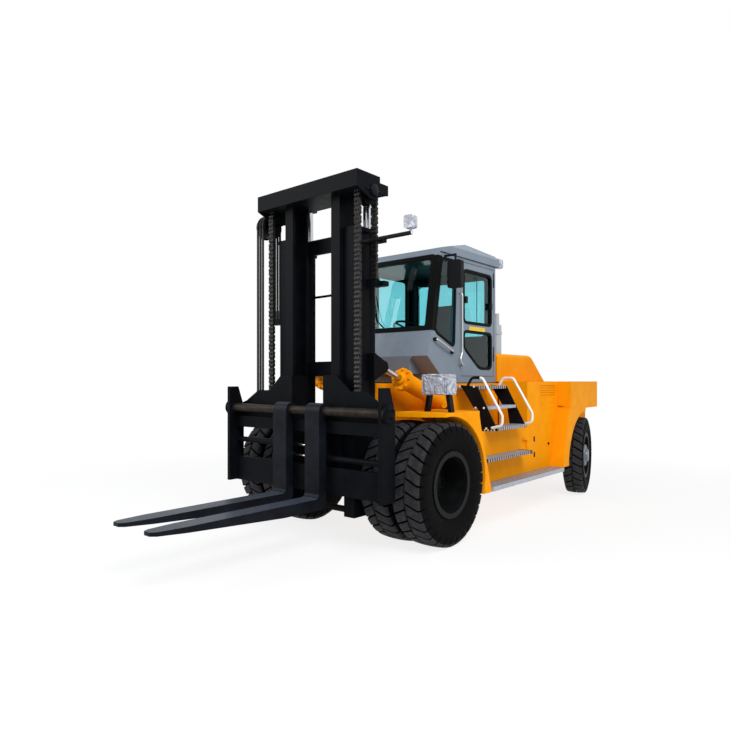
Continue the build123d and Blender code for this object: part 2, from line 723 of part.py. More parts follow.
def ladder_treads():
    """The ladder's three treads between its side plates; the top one reaches in to the cab's floor frame."""
    foot, top = LADDER_FOOT_Y, LADDER_TOP_Y
    span = (LADDER_X[0] + LADDER_PLATE + FIT, LADDER_X[1] - LADDER_PLATE - FIT)
    step = LADDER_TOP_Z - TREAD_T - TANK_TOP - 25
    treads = []
    for share in (0, 0.5, 1):
        y0 = foot[0] + share * (top[0] - foot[0]) + 30 if share < 1 else PLATFORM_Y
        y1 = foot[1] + share * (top[1] - foot[1]) - 5
        z = TANK_TOP + 15 + share * step
        treads.append(block(span, (y0, y1), (z, z + TREAD_T)))
    return treads


def handrails():
    """The two rails that follow the ladder's slope."""
    foot, top = LADDER_FOOT_Y[1], LADDER_TOP_Y[1]
    rails = []
    for x in (LADDER_X[0] - RAIL_R, LADDER_X[1] + RAIL_R):
        points = [
            (x, foot - 75, TANK_TOP + 45), (x, foot + RAIL_OUT, TANK_TOP + 85),
            (x, foot + RAIL_OUT, TANK_TOP + 205), (x, top + 80, LADDER_TOP_Z + RAIL_UP),
            (x, top - 70, LADDER_TOP_Z + RAIL_UP), (x, top - 140, LADDER_TOP_Z - 30),
        ]
        rails.append(bent_bar(points, RAIL_R, RAIL_BEND))
    return rails


def headlamp():
    """The left head lamp on its two-legged stand."""
    x = (LAMP_X[0] + 60, LAMP_X[0] + 130)
    body = fillet(block(LAMP_X, LAMP_Y, LAMP_Z).edges().filter_by(Axis.X), 24)
    for y, out in ((LAMP_Y[0] + 25, -35), (LAMP_Y[1] - 25, 35)):
        outline = [
            (y + out - 22, DECK_TOP), (y + out + 22, DECK_TOP), (y + 22, LAMP_Z[0] + 1), (
                y - 22, LAMP_Z[0] + 1,
            ),
        ]
        body += plate_yz(outline, *x)
    return body


# Cab


def screen_x(z):
    """The windscreen's outer face at a height."""
    share = (z - CAB_SILL[1]) / (CAB_TOP - CAB_SILL[1])
    return CAB_SILL[0] + share * (CAB_BROW_X - CAB_SILL[0])


CAB_OUTLINE = [
    (CAB_TOE[0], CAB_BASE), CAB_TOE, CAB_NOSE, CAB_SILL, (CAB_BROW_X, CAB_TOP), (CAB_REAR, CAB_TOP), (
        CAB_REAR, CAB_BASE,
    ),
]
SCREEN_Z = (CAB_SILL[1] + 40, CAB_TOP - CAB_WALL - 10)
SCREEN_HALF = CAB_HALF - PILLAR
CORNER_TOP = CAB_TOP - PILLAR
CORNER_PANE = [
    (screen_x(CAB_SILL[1]) - PILLAR, CAB_SILL[1]), (DOOR_FRONT + 170, CAB_SILL[1] - 180),
    (DOOR_FRONT + 120, CORNER_TOP), (screen_x(CORNER_TOP) - PILLAR, CORNER_TOP),
]
SIDE_PANE = [
    (DOOR_FRONT - DOOR_STILE, CAB_SILL[1] - 220), (DOOR_FRONT - DOOR_STILE, CORNER_TOP),
    (DOOR_REAR + DOOR_STILE, CORNER_TOP), (DOOR_REAR + DOOR_STILE, CAB_SILL[1] - 220),
]
REAR_PANE_HALF = 600
REAR_PANE_Z = (2450, 3300)
DOOR_UPPER = [
    (DOOR_FRONT - DOOR_STILE, DOOR_GLASS_SPLIT[1]), (DOOR_FRONT - DOOR_STILE, DOOR_HEAD - 105),
    (DOOR_REAR + DOOR_STILE, DOOR_HEAD - 105), (DOOR_REAR + DOOR_STILE, DOOR_GLASS_SPLIT[1]),
]
DOOR_LOWER = [
    (DOOR_FRONT - DOOR_STILE, DOOR_GLASS_SPLIT[0]), (DOOR_REAR + DOOR_STILE, DOOR_GLASS_SPLIT[0]),
    (DOOR_REAR + DOOR_STILE, DOOR_BOTTOM + 110), (DOOR_FRONT - 480, DOOR_BOTTOM + 110),
    (DOOR_FRONT - DOOR_STILE, DOOR_BOTTOM + 380),
]


def door_hinge(z, radius, height):
    """A hinge barrel on the door's rear edge."""
    return bar((HINGE_X, HINGE_Y, z), (HINGE_X, HINGE_Y, z + height), radius)


def cab_apron():
    """The skirt below the cab's nose, hollowed at its ends to pass over the tilt cylinders."""
    skirt = plate_xz([CAB_NOSE, *APRON_FOOT], -APRON_HALF, APRON_HALF)
    foot, top = APRON_FOOT[1][1] - 5, CAB_NOSE[1] + 1
    half = [
        (APRON_HALF - 100, foot), (APRON_HALF - 100, foot + 140), (APRON_HALF - 80, foot + 190),
        (APRON_HALF - 40, foot + 220), (APRON_HALF, top),
    ]
    outline = half + [(-y, z) for y, z in reversed(half)]
    return skirt & plate_yz(outline, APRON_FOOT[1][0] - 1, CAB_NOSE[0] + 1)


def cab_body():
    """The cab's welded shell, with its windows and the left doorway cut out."""
    room_half = CAB_HALF - CAB_WALL
    shell = plate_xz(CAB_OUTLINE, -CAB_HALF, CAB_HALF)
    shell -= inset_xz(CAB_OUTLINE, -room_half, room_half, CAB_WALL)
    shell -= block((CAB_BROW_X - 150, 0), (-SCREEN_HALF, SCREEN_HALF), SCREEN_Z)
    shell -= plate_xz(CORNER_PANE, -CAB_HALF - 1, CAB_HALF + 1)
    shell -= plate_xz(SIDE_PANE, -CAB_HALF - 1, 1 - room_half)
    shell -= block((DOOR_REAR, DOOR_FRONT), (room_half - 1, CAB_HALF + 1), (DOOR_BOTTOM, DOOR_HEAD))
    shell -= block((CAB_REAR - 1, CAB_REAR + CAB_WALL + 1), (-REAR_PANE_HALF, REAR_PANE_HALF), REAR_PANE_Z)
    shell += cab_apron()
    for x in (CAB_REAR, PLATFORM_FRONT):
        shell += block((x, x + 120), (-room_half, room_half), (PLATFORM_TOP, CAB_BASE + 1))
    for z in HINGE_Z:
        shell -= door_hinge(z + HINGE_H, HINGE_R + RUN_GAP, HINGE_H + RUN_GAP)
        shell += door_hinge(z, HINGE_R, HINGE_H)
    return shell


def cab_glass():
    """The fixed panes: windscreen, two corner panes, the right side window and the rear window."""
    z0, z1 = SCREEN_Z[0] + FIT, SCREEN_Z[1] - FIT
    near, far = GLASS_SET, GLASS_SET + GLASS
    screen = plate_xz(
        [
            (screen_x(z0) - near, z0), (screen_x(z1) - near, z1), (screen_x(z1) - far, z1), (
                screen_x(z0) - far, z0,
            ),
        ],
        FIT - SCREEN_HALF, SCREEN_HALF - FIT,
    )
    corner = inset_xz(CORNER_PANE, CAB_HALF - far, CAB_HALF - near, FIT)
    side = inset_xz(SIDE_PANE, near - CAB_HALF, far - CAB_HALF, FIT)
    rear_half = REAR_PANE_HALF - FIT
    rear = block(
        (CAB_REAR + near, CAB_REAR + far), (-rear_half, rear_half), (
            REAR_PANE_Z[0] + FIT, REAR_PANE_Z[1] - FIT,
        ),
    )
    return [screen, corner, mirrored(corner), side, rear]


def cab_roof():
    """The roof cap: low at the brow, highest behind its middle, with chamfered long edges."""
    half = CAB_HALF + ROOF_SIDE
    outline = [
        (ROOF_FRONT[0] + 20, CAB_TOP), ROOF_FRONT, ROOF_PEAK, ROOF_REAR, (ROOF_REAR[0], CAB_TOP),
    ]
    cap = plate_xz(outline, -half, half)
    edge = plate_yz(
        [(half - 130, ROOF_PEAK[1] + 1), (half + 1, CAB_TOP + 100), (half + 1, ROOF_PEAK[1] + 1)],
        ROOF_REAR[0] - 1, 0,
    )
    return cap - edge - mirrored(edge)


def door():
    """The left door, hinged on its rear edge, with its two windows cut out."""
    leaf = block(
        (DOOR_REAR + RUN_GAP, DOOR_FRONT - RUN_GAP), (CAB_HALF - CAB_WALL, CAB_HALF),
        (DOOR_BOTTOM + RUN_GAP, DOOR_HEAD - RUN_GAP),
    )
    for outline in (DOOR_UPPER, DOOR_LOWER):
        leaf -= plate_xz(outline, CAB_HALF - CAB_WALL - 1, CAB_HALF + 1)
    for z in HINGE_Z:
        leaf -= door_hinge(z - RUN_GAP, HINGE_R + RUN_GAP, HINGE_H + RUN_GAP + FIT)
        leaf += door_hinge(z + HINGE_H + FIT, HINGE_R, HINGE_H)
    return leaf


def door_glass():
    """The door's upper and lower panes."""
    y = (CAB_HALF - GLASS_SET - GLASS, CAB_HALF - GLASS_SET)
    return [inset_xz(outline, *y, FIT) for outline in (DOOR_UPPER, DOOR_LOWER)]


MIRROR_Z = (2985, 3335)
FLOOR_Z = CAB_BASE + CAB_WALL
SEAT_X = (-1950, -1430)
COLUMN_FOOT = (-900, FLOOR_Z + 350)
COLUMN_HEAD = (-1080, 2520)
WHEEL_R = 190


def seat():
    """The driver's seat on its pedestal."""
    body = block((SEAT_X[0] + 60, SEAT_X[1] - 60), (-180, 180), (FLOOR_Z, FLOOR_Z + 301))
    body += block(SEAT_X, (-260, 260), (FLOOR_Z + 300, FLOOR_Z + 420))
    back = [
        (SEAT_X[0] + 110, FLOOR_Z + 419), (SEAT_X[0], FLOOR_Z + 419),
        (SEAT_X[0] - 130, FLOOR_Z + 1080), (SEAT_X[0] - 40, FLOOR_Z + 1100),
    ]
    return body + plate_xz(back, -250, 250)


def console():
    """The dashboard and the steering column."""
    front = CAB_TOE[0] - CAB_WALL - 20
    dash = plate_xz(
        [
            (front, FLOOR_Z), (front, CAB_SILL[1] - 60), (front - 140, CAB_SILL[1] - 60),
            (front - 200, FLOOR_Z + 420), (front - 200, FLOOR_Z),
        ],
        -420, 420,
    )
    return dash + bar((COLUMN_FOOT[0], 0, COLUMN_FOOT[1]), (COLUMN_HEAD[0], 0, COLUMN_HEAD[1]), 45)


def steering_wheel():
    """The steering wheel: a rim, a hub and three spokes, square to its column."""
    wheel = revolve(Plane.XZ * Pos(WHEEL_R, 0) * RegularPolygon(15, 8), axis=Axis.Z) + Cylinder(45, 30)
    for n in range(3):
        wheel += Rot(0, 0, 90 + 120 * n) * Pos(WHEEL_R / 2 + 15, 0, 0) * Box(WHEEL_R - 20, 26, 14)
    run, rise = COLUMN_HEAD[0] - COLUMN_FOOT[0], COLUMN_HEAD[1] - COLUMN_FOOT[1]
    share = 1 + (15 + FIT) / hypot(run, rise)
    at = (COLUMN_FOOT[0] + share * run, COLUMN_FOOT[1] + share * rise)
    return Pos(at[0], 0, at[1]) * Rot(0, degrees(atan2(run, rise)), 0) * wheel


def cab_mirror():
    """The left mirror on its arm beside the cab's front pillar."""
    x = CAB_BROW_X - 130
    z = CORNER_TOP + 30
    y = CAB_HALF + 160
    arm = bar((x, CAB_HALF, z), (x, y, z), 15) + bar((x, y, z + 14), (x, y, MIRROR_Z[1] - 20), 14)
    head = block((x - 35, x + 35), (y - 100, y + 100), MIRROR_Z)
    return arm + fillet(head.edges().filter_by(Axis.X), 35)


# Hood


def hood():
    """The engine hood: a hollow lid, open below, hinged along its rear foot."""
    outline = [
        (HOOD_FRONT, HOOD_BASE), (HOOD_FRONT, HOOD_TOP), (HOOD_REAR_TOP, HOOD_TOP), (HOOD_REAR, HOOD_BASE),
    ]
    room_half = HOOD_HALF - HOOD_WALL
    shell = plate_xz(outline, -HOOD_HALF, HOOD_HALF)
    long_edges = shell.faces().sort_by(Axis.Z)[-1].edges().filter_by(Axis.X)
    shell = fillet(long_edges, HOOD_ROUND)
    room = [
        (HOOD_FRONT - HOOD_WALL, HOOD_BASE - 1), (HOOD_FRONT - HOOD_WALL, HOOD_TOP - HOOD_WALL),
        (HOOD_REAR_TOP + HOOD_WALL / 2, HOOD_TOP - HOOD_WALL), (HOOD_REAR + 2 * HOOD_WALL, HOOD_BASE - 1),
    ]
    return shell - plate_xz(room, -room_half, room_half)


def exhaust_stack():
    """The exhaust stack on the hood behind the cab."""
    stack = bar((*STACK_XY, HOOD_TOP), (*STACK_XY, STACK_TOP), STACK_R)
    stack += bar((*STACK_XY, STACK_TOP - 1), (*STACK_XY, PIPE_TOP), PIPE_R)
    return stack + bar((*STACK_XY, STACK_TOP - 140), (*STACK_XY, STACK_TOP - 100), STACK_R + 8)


# Mast


def rail(x, y, z):
    """An upright channel of the mast, its mouth towards the truck's middle."""
    mouth = block((x[0] + RAIL_WALL, x[1] - RAIL_WALL), (y[0] - 1, y[1] - RAIL_WALL), (z[0] - 1, z[1] + 1))
    return block(x, y, z) - mouth


def mast_outer():
    """The outer mast: two channels, cross ties, pivot hooks, and brackets for the cylinders and chains."""
    back = OUTER_RAIL_X[0]
    side = rail(OUTER_RAIL_X, OUTER_RAIL_Y, (OUTER_BOTTOM, OUTER_TOP))
    hook_y = (FRAME_OUT_Y + RUN_GAP, OUTER_RAIL_Y[1] - 10)
    hook = plate_xz(
        [
            (back + 1, PIVOT_Z + 210), (PIVOT_X, PIVOT_Z + 95), (PIVOT_X, PIVOT_Z - 95), (
                back + 1, PIVOT_Z - 150,
            ),
        ],
        *hook_y,
    )
    hook += lug((PIVOT_X, PIVOT_Z), 95, *hook_y)
    side += hook - lug((PIVOT_X, PIVOT_Z), PIVOT_R + FIT, 0, SIDE_Y)
    side += block(
        (LIFT_X - LIFT_BARREL_R, back + 1), (LIFT_Y - 85, OUTER_RAIL_Y[1] - 5),
        (LIFT_FOOT - 45, LIFT_FOOT),
    )
    clamp_z = (OUTER_TOP - 160, OUTER_TOP - 100)
    clamp = bar((LIFT_X, LIFT_Y, clamp_z[0]), (LIFT_X, LIFT_Y, clamp_z[1]), LIFT_BARREL_R + 22)
    clamp += block((LIFT_X, back + 1), (OUTER_RAIL_Y[0] + 1, OUTER_RAIL_Y[1]), clamp_z)
    side += clamp - bar((LIFT_X, LIFT_Y, 0), (LIFT_X, LIFT_Y, OUTER_TOP), LIFT_BARREL_R + FIT)
    for y in (TILT_Y - TILT_EYE_W / 2 - RUN_GAP - 22, TILT_Y + TILT_EYE_W / 2 + RUN_GAP):
        ear = plate_xz(
            [
                (back + 40, TILT_EYE[1] + 150), (TILT_EYE[0], TILT_EYE[1] + 70),
                (TILT_EYE[0], TILT_EYE[1] - 70), (back + 40, TILT_EYE[1] - 150),
            ],
            y, y + 22,
        )
        side += ear + lug(TILT_EYE, 70, y, y + 22)
    side += block(
        (back + 20, back + 60), (OUTER_RAIL_Y[1] - 1, TILT_Y + TILT_EYE_W / 2 + RUN_GAP + 22),
        (TILT_EYE[1] - 150, TILT_EYE[1] + 150),
    )
    side += block(
        (SHEAVE_X - SHEAVE_R - 35, SHEAVE_X - SHEAVE_R + 35), (
            OUTER_RAIL_Y[1] - 1, CHAIN_Y + CHAIN_W / 2 + 5,
        ),
        (CHAIN_ANCHOR_Z - 90, CHAIN_ANCHOR_Z),
    )
    collar_y = (OUTER_RAIL_Y[1] - 1, OUTER_RAIL_Y[1] + COLLAR)
    side += block(OUTER_RAIL_X, collar_y, (OUTER_TOP - COLLAR_H, OUTER_TOP))
    body = side + mirrored(side)
    hose_x = SHEAVE_X - SHEAVE_R
    hose_y = HOSE_Y + HOSE_SHEAVE_W / 2
    body += block(
        (hose_x - 40, hose_x + 40), (-hose_y, 1 - OUTER_RAIL_Y[1]), (HOSE_ANCHOR_Z - 70, HOSE_ANCHOR_Z),
    )
    tie_y = OUTER_RAIL_Y[0] + 10
    tie_x = (back - 20, back + 18)
    for z in OUTER_TIE_Z:
        body += block(tie_x, (-tie_y, tie_y), z)
    body += block((back, back + 90), (-tie_y, tie_y), (OUTER_BOTTOM, OUTER_BOTTOM + 50))
    return body


def lift_barrel():
    """The left lift cylinder's barrel, standing on the outer mast's bracket."""
    foot, head = (LIFT_X, LIFT_Y, LIFT_FOOT), (LIFT_X, LIFT_Y, OUTER_TOP)
    barrel = bar(foot, head, LIFT_BARREL_R)
    return barrel - bar((LIFT_X, LIFT_Y, LIFT_FOOT + 40), (LIFT_X, LIFT_Y, OUTER_TOP + 1), LIFT_ROD_R + FIT)


def mast_lamp():
    """The work lamp on its arm at the left of the outer mast."""
    x, z = SHEAVE_X, OUTER_TOP - 175
    root = OUTER_RAIL_Y[1]
    arm = bar((x, root + 6, z), (x, MAST_LAMP_Y[1] - 35, z), 22)
    arm += block((x - 50, x + 50), (root, root + 14), (z - 50, z + 50))
    post_y = (MAST_LAMP_Y[0] + MAST_LAMP_Y[1]) / 2
    arm += bar((x, post_y, z), (x, post_y, z + 50), 16)
    lamp = block((x - 45, x + 45), MAST_LAMP_Y, (z + 45, z + 177))
    return arm + fillet(lamp.edges().filter_by(Axis.X), 20)


def mast_inner():
    """The inner mast: two channels under a wide crosshead that carries the sheave pins and rod seats."""
    side = rail(INNER_RAIL_X, INNER_RAIL_Y, (INNER_BOTTOM, HEAD_BOTTOM + 1))
    end_y = (HEAD_HALF - 25, HEAD_HALF)
    end = plate_xz(
        [
            (HEAD_FRONT - 1, HEAD_TOP), (SHEAVE_X - 110, HEAD_TOP), (SHEAVE_X - 110, SHEAVE_Z - 30),
            (SHEAVE_X - 40, SHEAVE_Z - 100), (SHEAVE_X + 60, SHEAVE_Z - 100), (HEAD_FRONT - 1, HEAD_BOTTOM),
        ],
        *end_y,
    )
    side += end
    side += lug((SHEAVE_X, SHEAVE_Z), SHEAVE_PIN_R, CHAIN_Y - CHAIN_W / 2 - 40, HEAD_HALF + 12)
    side += block(
        (LIFT_X - 75, SHEAVE_X), (LIFT_Y - 75, CHAIN_Y - CHAIN_W / 2 - RUN_GAP),
        (ROD_TOP, HEAD_TOP - 10),
    )
    body = side + mirrored(side)
    body += block((HEAD_FRONT - HEAD_BEAM, HEAD_FRONT), (-HEAD_HALF, HEAD_HALF), (HEAD_BOTTOM, HEAD_TOP))
    beam_y = CHAIN_Y - CHAIN_W / 2 - RUN_GAP
    body += block((OUTER_RAIL_X[0], HEAD_FRONT - 1), (-beam_y, beam_y), (HEAD_BOTTOM, HEAD_TOP - 20))
    body += block(
        (INNER_RAIL_X[0] - 35, INNER_RAIL_X[0] + 1), (-INNER_RAIL_Y[1], INNER_RAIL_Y[1]),
        (INNER_BOTTOM, INNER_BOTTOM + 160),
    )
    body += block(
        (SHEAVE_X - 50, SHEAVE_X + 50), (-HEAD_HALF - HANGER_T, 1 - HEAD_HALF),
        (HOSE_SHEAVE_Z - 50, SHEAVE_Z + 20),
    )
    return body


def lift_rod():
    """The left lift cylinder's rod, from inside its barrel to its seat under the crosshead."""
    return bar((LIFT_X, LIFT_Y, LIFT_FOOT + 250), (LIFT_X, LIFT_Y, ROD_TOP), LIFT_ROD_R)


def sheave():
    """The left chain sheave, a grooved wheel on its pin."""
    inner = SHEAVE_R - CHAIN_T / 2
    half = CHAIN_W / 2
    wheel = disc(inner, -half + 2, half - 2) + disc(inner + 28, -half - 3, -half + 3) + disc(
        inner + 28, half - 3, half + 3,
    )
    wheel -= disc(SHEAVE_PIN_R + FIT, -half - 10, half + 10)
    return Pos(SHEAVE_X, CHAIN_Y, SHEAVE_Z) * wheel


def chain_wrap():
    """The part of the left chain that lies over the sheave."""
    half = CHAIN_W / 2 - RUN_GAP
    inner = SHEAVE_R - CHAIN_T / 2 + FIT
    ring = disc(SHEAVE_R + CHAIN_T / 2, -half, half) - disc(inner, -half, half)
    ring &= block((-2 * SHEAVE_R, 2 * SHEAVE_R), (-CHAIN_W, CHAIN_W), (0, 2 * SHEAVE_R))
    return Pos(SHEAVE_X, CHAIN_Y, SHEAVE_Z) * ring


def chain_run(x, bottom):
    """A straight run of the left chain up to its sheave, waisted between its links."""
    half = CHAIN_W / 2 - RUN_GAP
    count = round((SHEAVE_Z - bottom) / CHAIN_PITCH)
    pitch = (SHEAVE_Z - bottom) / count
    edge = []
    for n in range(count):
        z = bottom + n * pitch
        edge += [
            (CHAIN_T / 2, z), (CHAIN_T / 2, z + 0.7 * pitch),
            (CHAIN_T / 2 - CHAIN_WAIST, z + 0.75 * pitch), (CHAIN_T / 2 - CHAIN_WAIST, z + 0.95 * pitch),
        ]
    edge.append((CHAIN_T / 2, SHEAVE_Z))
    outline = [(x + out, z) for out, z in edge] + [(x - out, z) for out, z in reversed(edge)]
    return plate_xz(outline, CHAIN_Y - half, CHAIN_Y + half)


def hose_run(x, bottom):
    """The straight runs of the three hoses at the right of the mast."""
    runs = []
    for n in (-1, 0, 1):
        y = -HOSE_Y + n * HOSE_PITCH
        runs.append(bar((x, y, bottom), (x, y, HOSE_SHEAVE_Z), HOSE_R))
    return runs


HOSE_SHEAVE_W = 3 * HOSE_PITCH


def hose_sheave():
    """The hose sheave at the crosshead's right end, on a stub shaft, with the hoses' bends over it."""
    inner = SHEAVE_R - HOSE_R
    wheel = disc(inner - FIT, -HOSE_SHEAVE_W / 2, HOSE_SHEAVE_W / 2)
    wheel += disc(inner + 15, -HOSE_SHEAVE_W / 2 - 10, -HOSE_SHEAVE_W / 2)
    wheel += disc(inner + 15, HOSE_SHEAVE_W / 2, HOSE_SHEAVE_W / 2 + 10)
    wheel += disc(SHEAVE_PIN_R, 0, HOSE_Y - HEAD_HALF - HANGER_T)
    return Pos(SHEAVE_X, -HOSE_Y, HOSE_SHEAVE_Z) * wheel


def hose_bends():
    """The bends of the three hoses over their sheave."""
    bends = []
    for n in (-1, 0, 1):
        ring = revolve(Pos(SHEAVE_R, 0) * RegularPolygon(HOSE_R, 8), axis=Axis.Y)
        ring &= block((-2 * SHEAVE_R, 2 * SHEAVE_R), (-HOSE_R, HOSE_R), (0, 2 * SHEAVE_R))
        bends.append(Pos(SHEAVE_X, -HOSE_Y + n * HOSE_PITCH, HOSE_SHEAVE_Z) * ring)
    return bends


# Carriage and forks


def carriage_frame():
    """The carriage's outer frame: two end plates, an upper beam and a lower beam."""
    inner = CARRIAGE_HALF - END_PLATE
    plate = plate_xz(
        [
            (CARRIAGE_FRONT, CARRIAGE_BOTTOM), (CARRIAGE_FRONT, CARRIAGE_TOP), (
                CARRIAGE_FRONT - 135, CARRIAGE_TOP,
            ),
            (CARRIAGE_REAR, CARRIAGE_TOP - 250), (CARRIAGE_REAR, CARRIAGE_BOTTOM),
        ],
        inner, CARRIAGE_HALF,
    )
    plate -= lug((SHAFT_X, SHAFT_Z), SHAFT_R + FIT, 0, SIDE_Y)
    body = plate + mirrored(plate)
    for z in (UPPER_BEAM_Z, LOWER_BEAM_Z):
        body += block((BEAM_REAR, BEAM_FRONT), (-inner - 1, inner + 1), z)
    return body


ROLLER_X = (INNER_RAIL_X[0] + INNER_RAIL_X[1]) / 2
ROLLER_R = RAIL_D / 2 - RAIL_WALL - ROLLER_GAP
ROLLER_Z = (CARRIAGE_BOTTOM + 140, 1790)


def carriage_plate():
    """The left back plate with its roller plate, two mast rollers and the chain's anchor."""
    plate_y = RAIL_IN_Y - RAIL_GAP
    inner = CARRIAGE_HALF - END_PLATE
    top = CARRIAGE_TOP - 43
    body = plate_yz(
        [
            (plate_y - ROLLER_PLATE_T, UPPER_BEAM_Z[0]), (inner, UPPER_BEAM_Z[0]), (
                inner, CARRIAGE_TOP - 205,
            ),
            (CARRIAGE_HALF - 150, CARRIAGE_TOP - 175), (CHAIN_Y + 160, top), (CHAIN_Y - 50, top),
            (450, top + 175), (plate_y - ROLLER_PLATE_T, top + 175),
        ],
        BEAM_REAR - BACK_PLATE_T, BEAM_REAR,
    )
    body += plate_xz(
        [
            (BEAM_REAR, CARRIAGE_BOTTOM), (BEAM_REAR, top + 175), (ROLLER_X - 40, top + 175),
            (ROLLER_X - 70, top + 100), (ROLLER_X - 70, CARRIAGE_BOTTOM),
        ],
        plate_y - ROLLER_PLATE_T, plate_y,
    )
    for z in ROLLER_Z:
        body += lug((ROLLER_X, z), ROLLER_R, plate_y - 1, INNER_RAIL_Y[1] - RAIL_WALL - ROLLER_GAP)
    chain_x = SHEAVE_X + SHEAVE_R
    half = CHAIN_W / 2 + 10
    body += block((chain_x - 40, BEAM_REAR - 1), (CHAIN_Y - half, CHAIN_Y + half), (top - 110, top))
    return body


def hose_block():
    """The block on the carriage where the three hoses end."""
    x = SHEAVE_X + SHEAVE_R
    half = HOSE_SHEAVE_W / 2 + 10
    return block(
        (x - 40, BEAM_REAR - BACK_PLATE_T), (-HOSE_Y - half, -HOSE_Y + half),
        (CARRIAGE_TOP - 240, CARRIAGE_TOP - 150),
    )


def fork_shaft():
    """The shaft that carries the forks, with a cap outside each end plate."""
    reach = CARRIAGE_HALF + 22
    shaft = lug((SHAFT_X, SHAFT_Z), SHAFT_R, -reach, reach)
    cap = lug((SHAFT_X, SHAFT_Z), SHAFT_CAP_R, CARRIAGE_HALF, reach)
    return shaft + cap + mirrored(cap)


def fork():
    """The left fork: an eye on the shaft, a shank and a tapered blade, with a lug for its positioner rod."""
    back = FORK_FACE - FORK_T
    body = plate_xz(
        [
            (back, FORK_BOTTOM), (FORK_FACE + 500, FORK_BOTTOM), (FRONT_REACH, FORK_TOP - FORK_TIP_T),
            (FRONT_REACH, FORK_TOP), (FORK_FACE, FORK_TOP), (FORK_FACE, SHAFT_Z), (back, SHAFT_Z),
        ],
        FORK_Y - FORK_W / 2, FORK_Y + FORK_W / 2,
    )
    body = fillet(edges_near(body, back, FORK_BOTTOM), FORK_T * 0.8)
    body = fillet(edges_near(body, FORK_FACE, FORK_TOP), FORK_T * 0.5)
    point = [
        (back - 1, FORK_W), (FRONT_REACH - 330, FORK_W), (FRONT_REACH - 330, FORK_W / 2), (
            FRONT_REACH - 50, FORK_W * 0.36,
        ),
        (FRONT_REACH, FORK_W * 0.2),
    ]
    point = [(x, FORK_Y + y) for x, y in point] + [(x, FORK_Y - y) for x, y in reversed(point)]
    body &= plate_xy(point, 0, CARRIAGE_TOP)
    eye_y = (FORK_Y - FORK_W / 2, FORK_Y + FORK_W / 2)
    body += lug((SHAFT_X, SHAFT_Z), FORK_EYE_R, *eye_y)
    body -= lug((SHAFT_X, SHAFT_Z), SHAFT_R + FIT, 0, SIDE_Y)
    z = POSITIONER_Z[0]
    ear = block((POSITIONER_X, back + 1), (FORK_Y - 30, FORK_Y + 30), (z - 40, z + 40))
    return body + ear + lug((POSITIONER_X, z), POSITIONER_R, FORK_Y - 30, FORK_Y + 30)


def right_fork():
    """The right fork: the left one's mirror image with its rod lug at the lower positioner."""
    z = POSITIONER_Z[0]
    back = FORK_FACE - FORK_T
    body = fork() - block((POSITIONER_X - 100, back), (0, SIDE_Y), (z - 60, z + 60))
    z = POSITIONER_Z[1]
    body += block((POSITIONER_X, back + 1), (FORK_Y - 30, FORK_Y + 30), (z - 40, z + 40))
    body += lug((POSITIONER_X, z), POSITIONER_R, FORK_Y - 30, FORK_Y + 30)
    return mirrored(body)


def positioner_barrel(side):
    """The barrel of one fork positioner (side 1 is the left one), fixed to the end plate across from it."""
    z = POSITIONER_Z[0 if side > 0 else 1]
    far = -side * (CARRIAGE_HALF - END_PLATE)
    near = -side * POSITIONER_END_Y
    barrel = lug((POSITIONER_X, z), POSITIONER_R, far, near)
    return barrel - lug((POSITIONER_X, z), POSITIONER_ROD_R + FIT, far + side * 40, near + side)


def positioner_rod(side):
    """The rod of one fork's positioner, from inside its barrel to the fork's lug."""
    z = POSITIONER_Z[0 if side > 0 else 1]
    far = -side * (CARRIAGE_HALF - END_PLATE - 180)
    return lug((POSITIONER_X, z), POSITIONER_ROD_R, far, side * (FORK_Y - 30))


# Tilt cylinders


def tilt_point(distance, y=TILT_Y):
    """A point on the left tilt cylinder's centre line, at a distance from its rear pin."""
    run, rise = TILT_EYE[0] - TILT_PIN[0], TILT_EYE[1] - TILT_PIN[1]
    length = hypot(run, rise)
    return (TILT_PIN[0] + run * distance / length, y, TILT_PIN[1] + rise * distance / length)


TILT_LENGTH = hypot(TILT_EYE[0] - TILT_PIN[0], TILT_EYE[1] - TILT_PIN[1])


def tilt_barrel():
    """The left tilt cylinder's barrel, with its rear eye and its bolted gland flange."""
    half = TILT_EYE_W / 2
    neck = TILT_PIN_R + 45
    gland = TILT_LENGTH - TILT_GLAND
    body = bar(tilt_point(neck + 20), tilt_point(gland), TILT_BARREL_R)
    body += bar(tilt_point(gland - 60), tilt_point(gland), TILT_FLANGE_R)
    body += bar(tilt_point(0), tilt_point(neck + 30), half - 5)
    body += lug(TILT_PIN, neck, TILT_Y - half, TILT_Y + half)
    body -= lug(TILT_PIN, TILT_PIN_R + FIT, 0, SIDE_Y)
    return body - bar(tilt_point(neck + 60), tilt_point(gland + 1), TILT_ROD_R + FIT)


def tilt_rod():
    """The left tilt cylinder's rod, from inside the barrel to its eye between the mast's ears."""
    half = TILT_EYE_W / 2
    body = bar(tilt_point(TILT_PIN_R + 45 + 400), tilt_point(TILT_LENGTH - 20), TILT_ROD_R)
    body += lug(TILT_EYE, TILT_EYE_R, TILT_Y - half, TILT_Y + half)
    return body


def sides(shape):
    """A left piece and its mirror image, as two pieces of one node."""
    pieces = shape if isinstance(shape, list) else [shape]
    return pieces + [mirrored(piece) for piece in pieces]


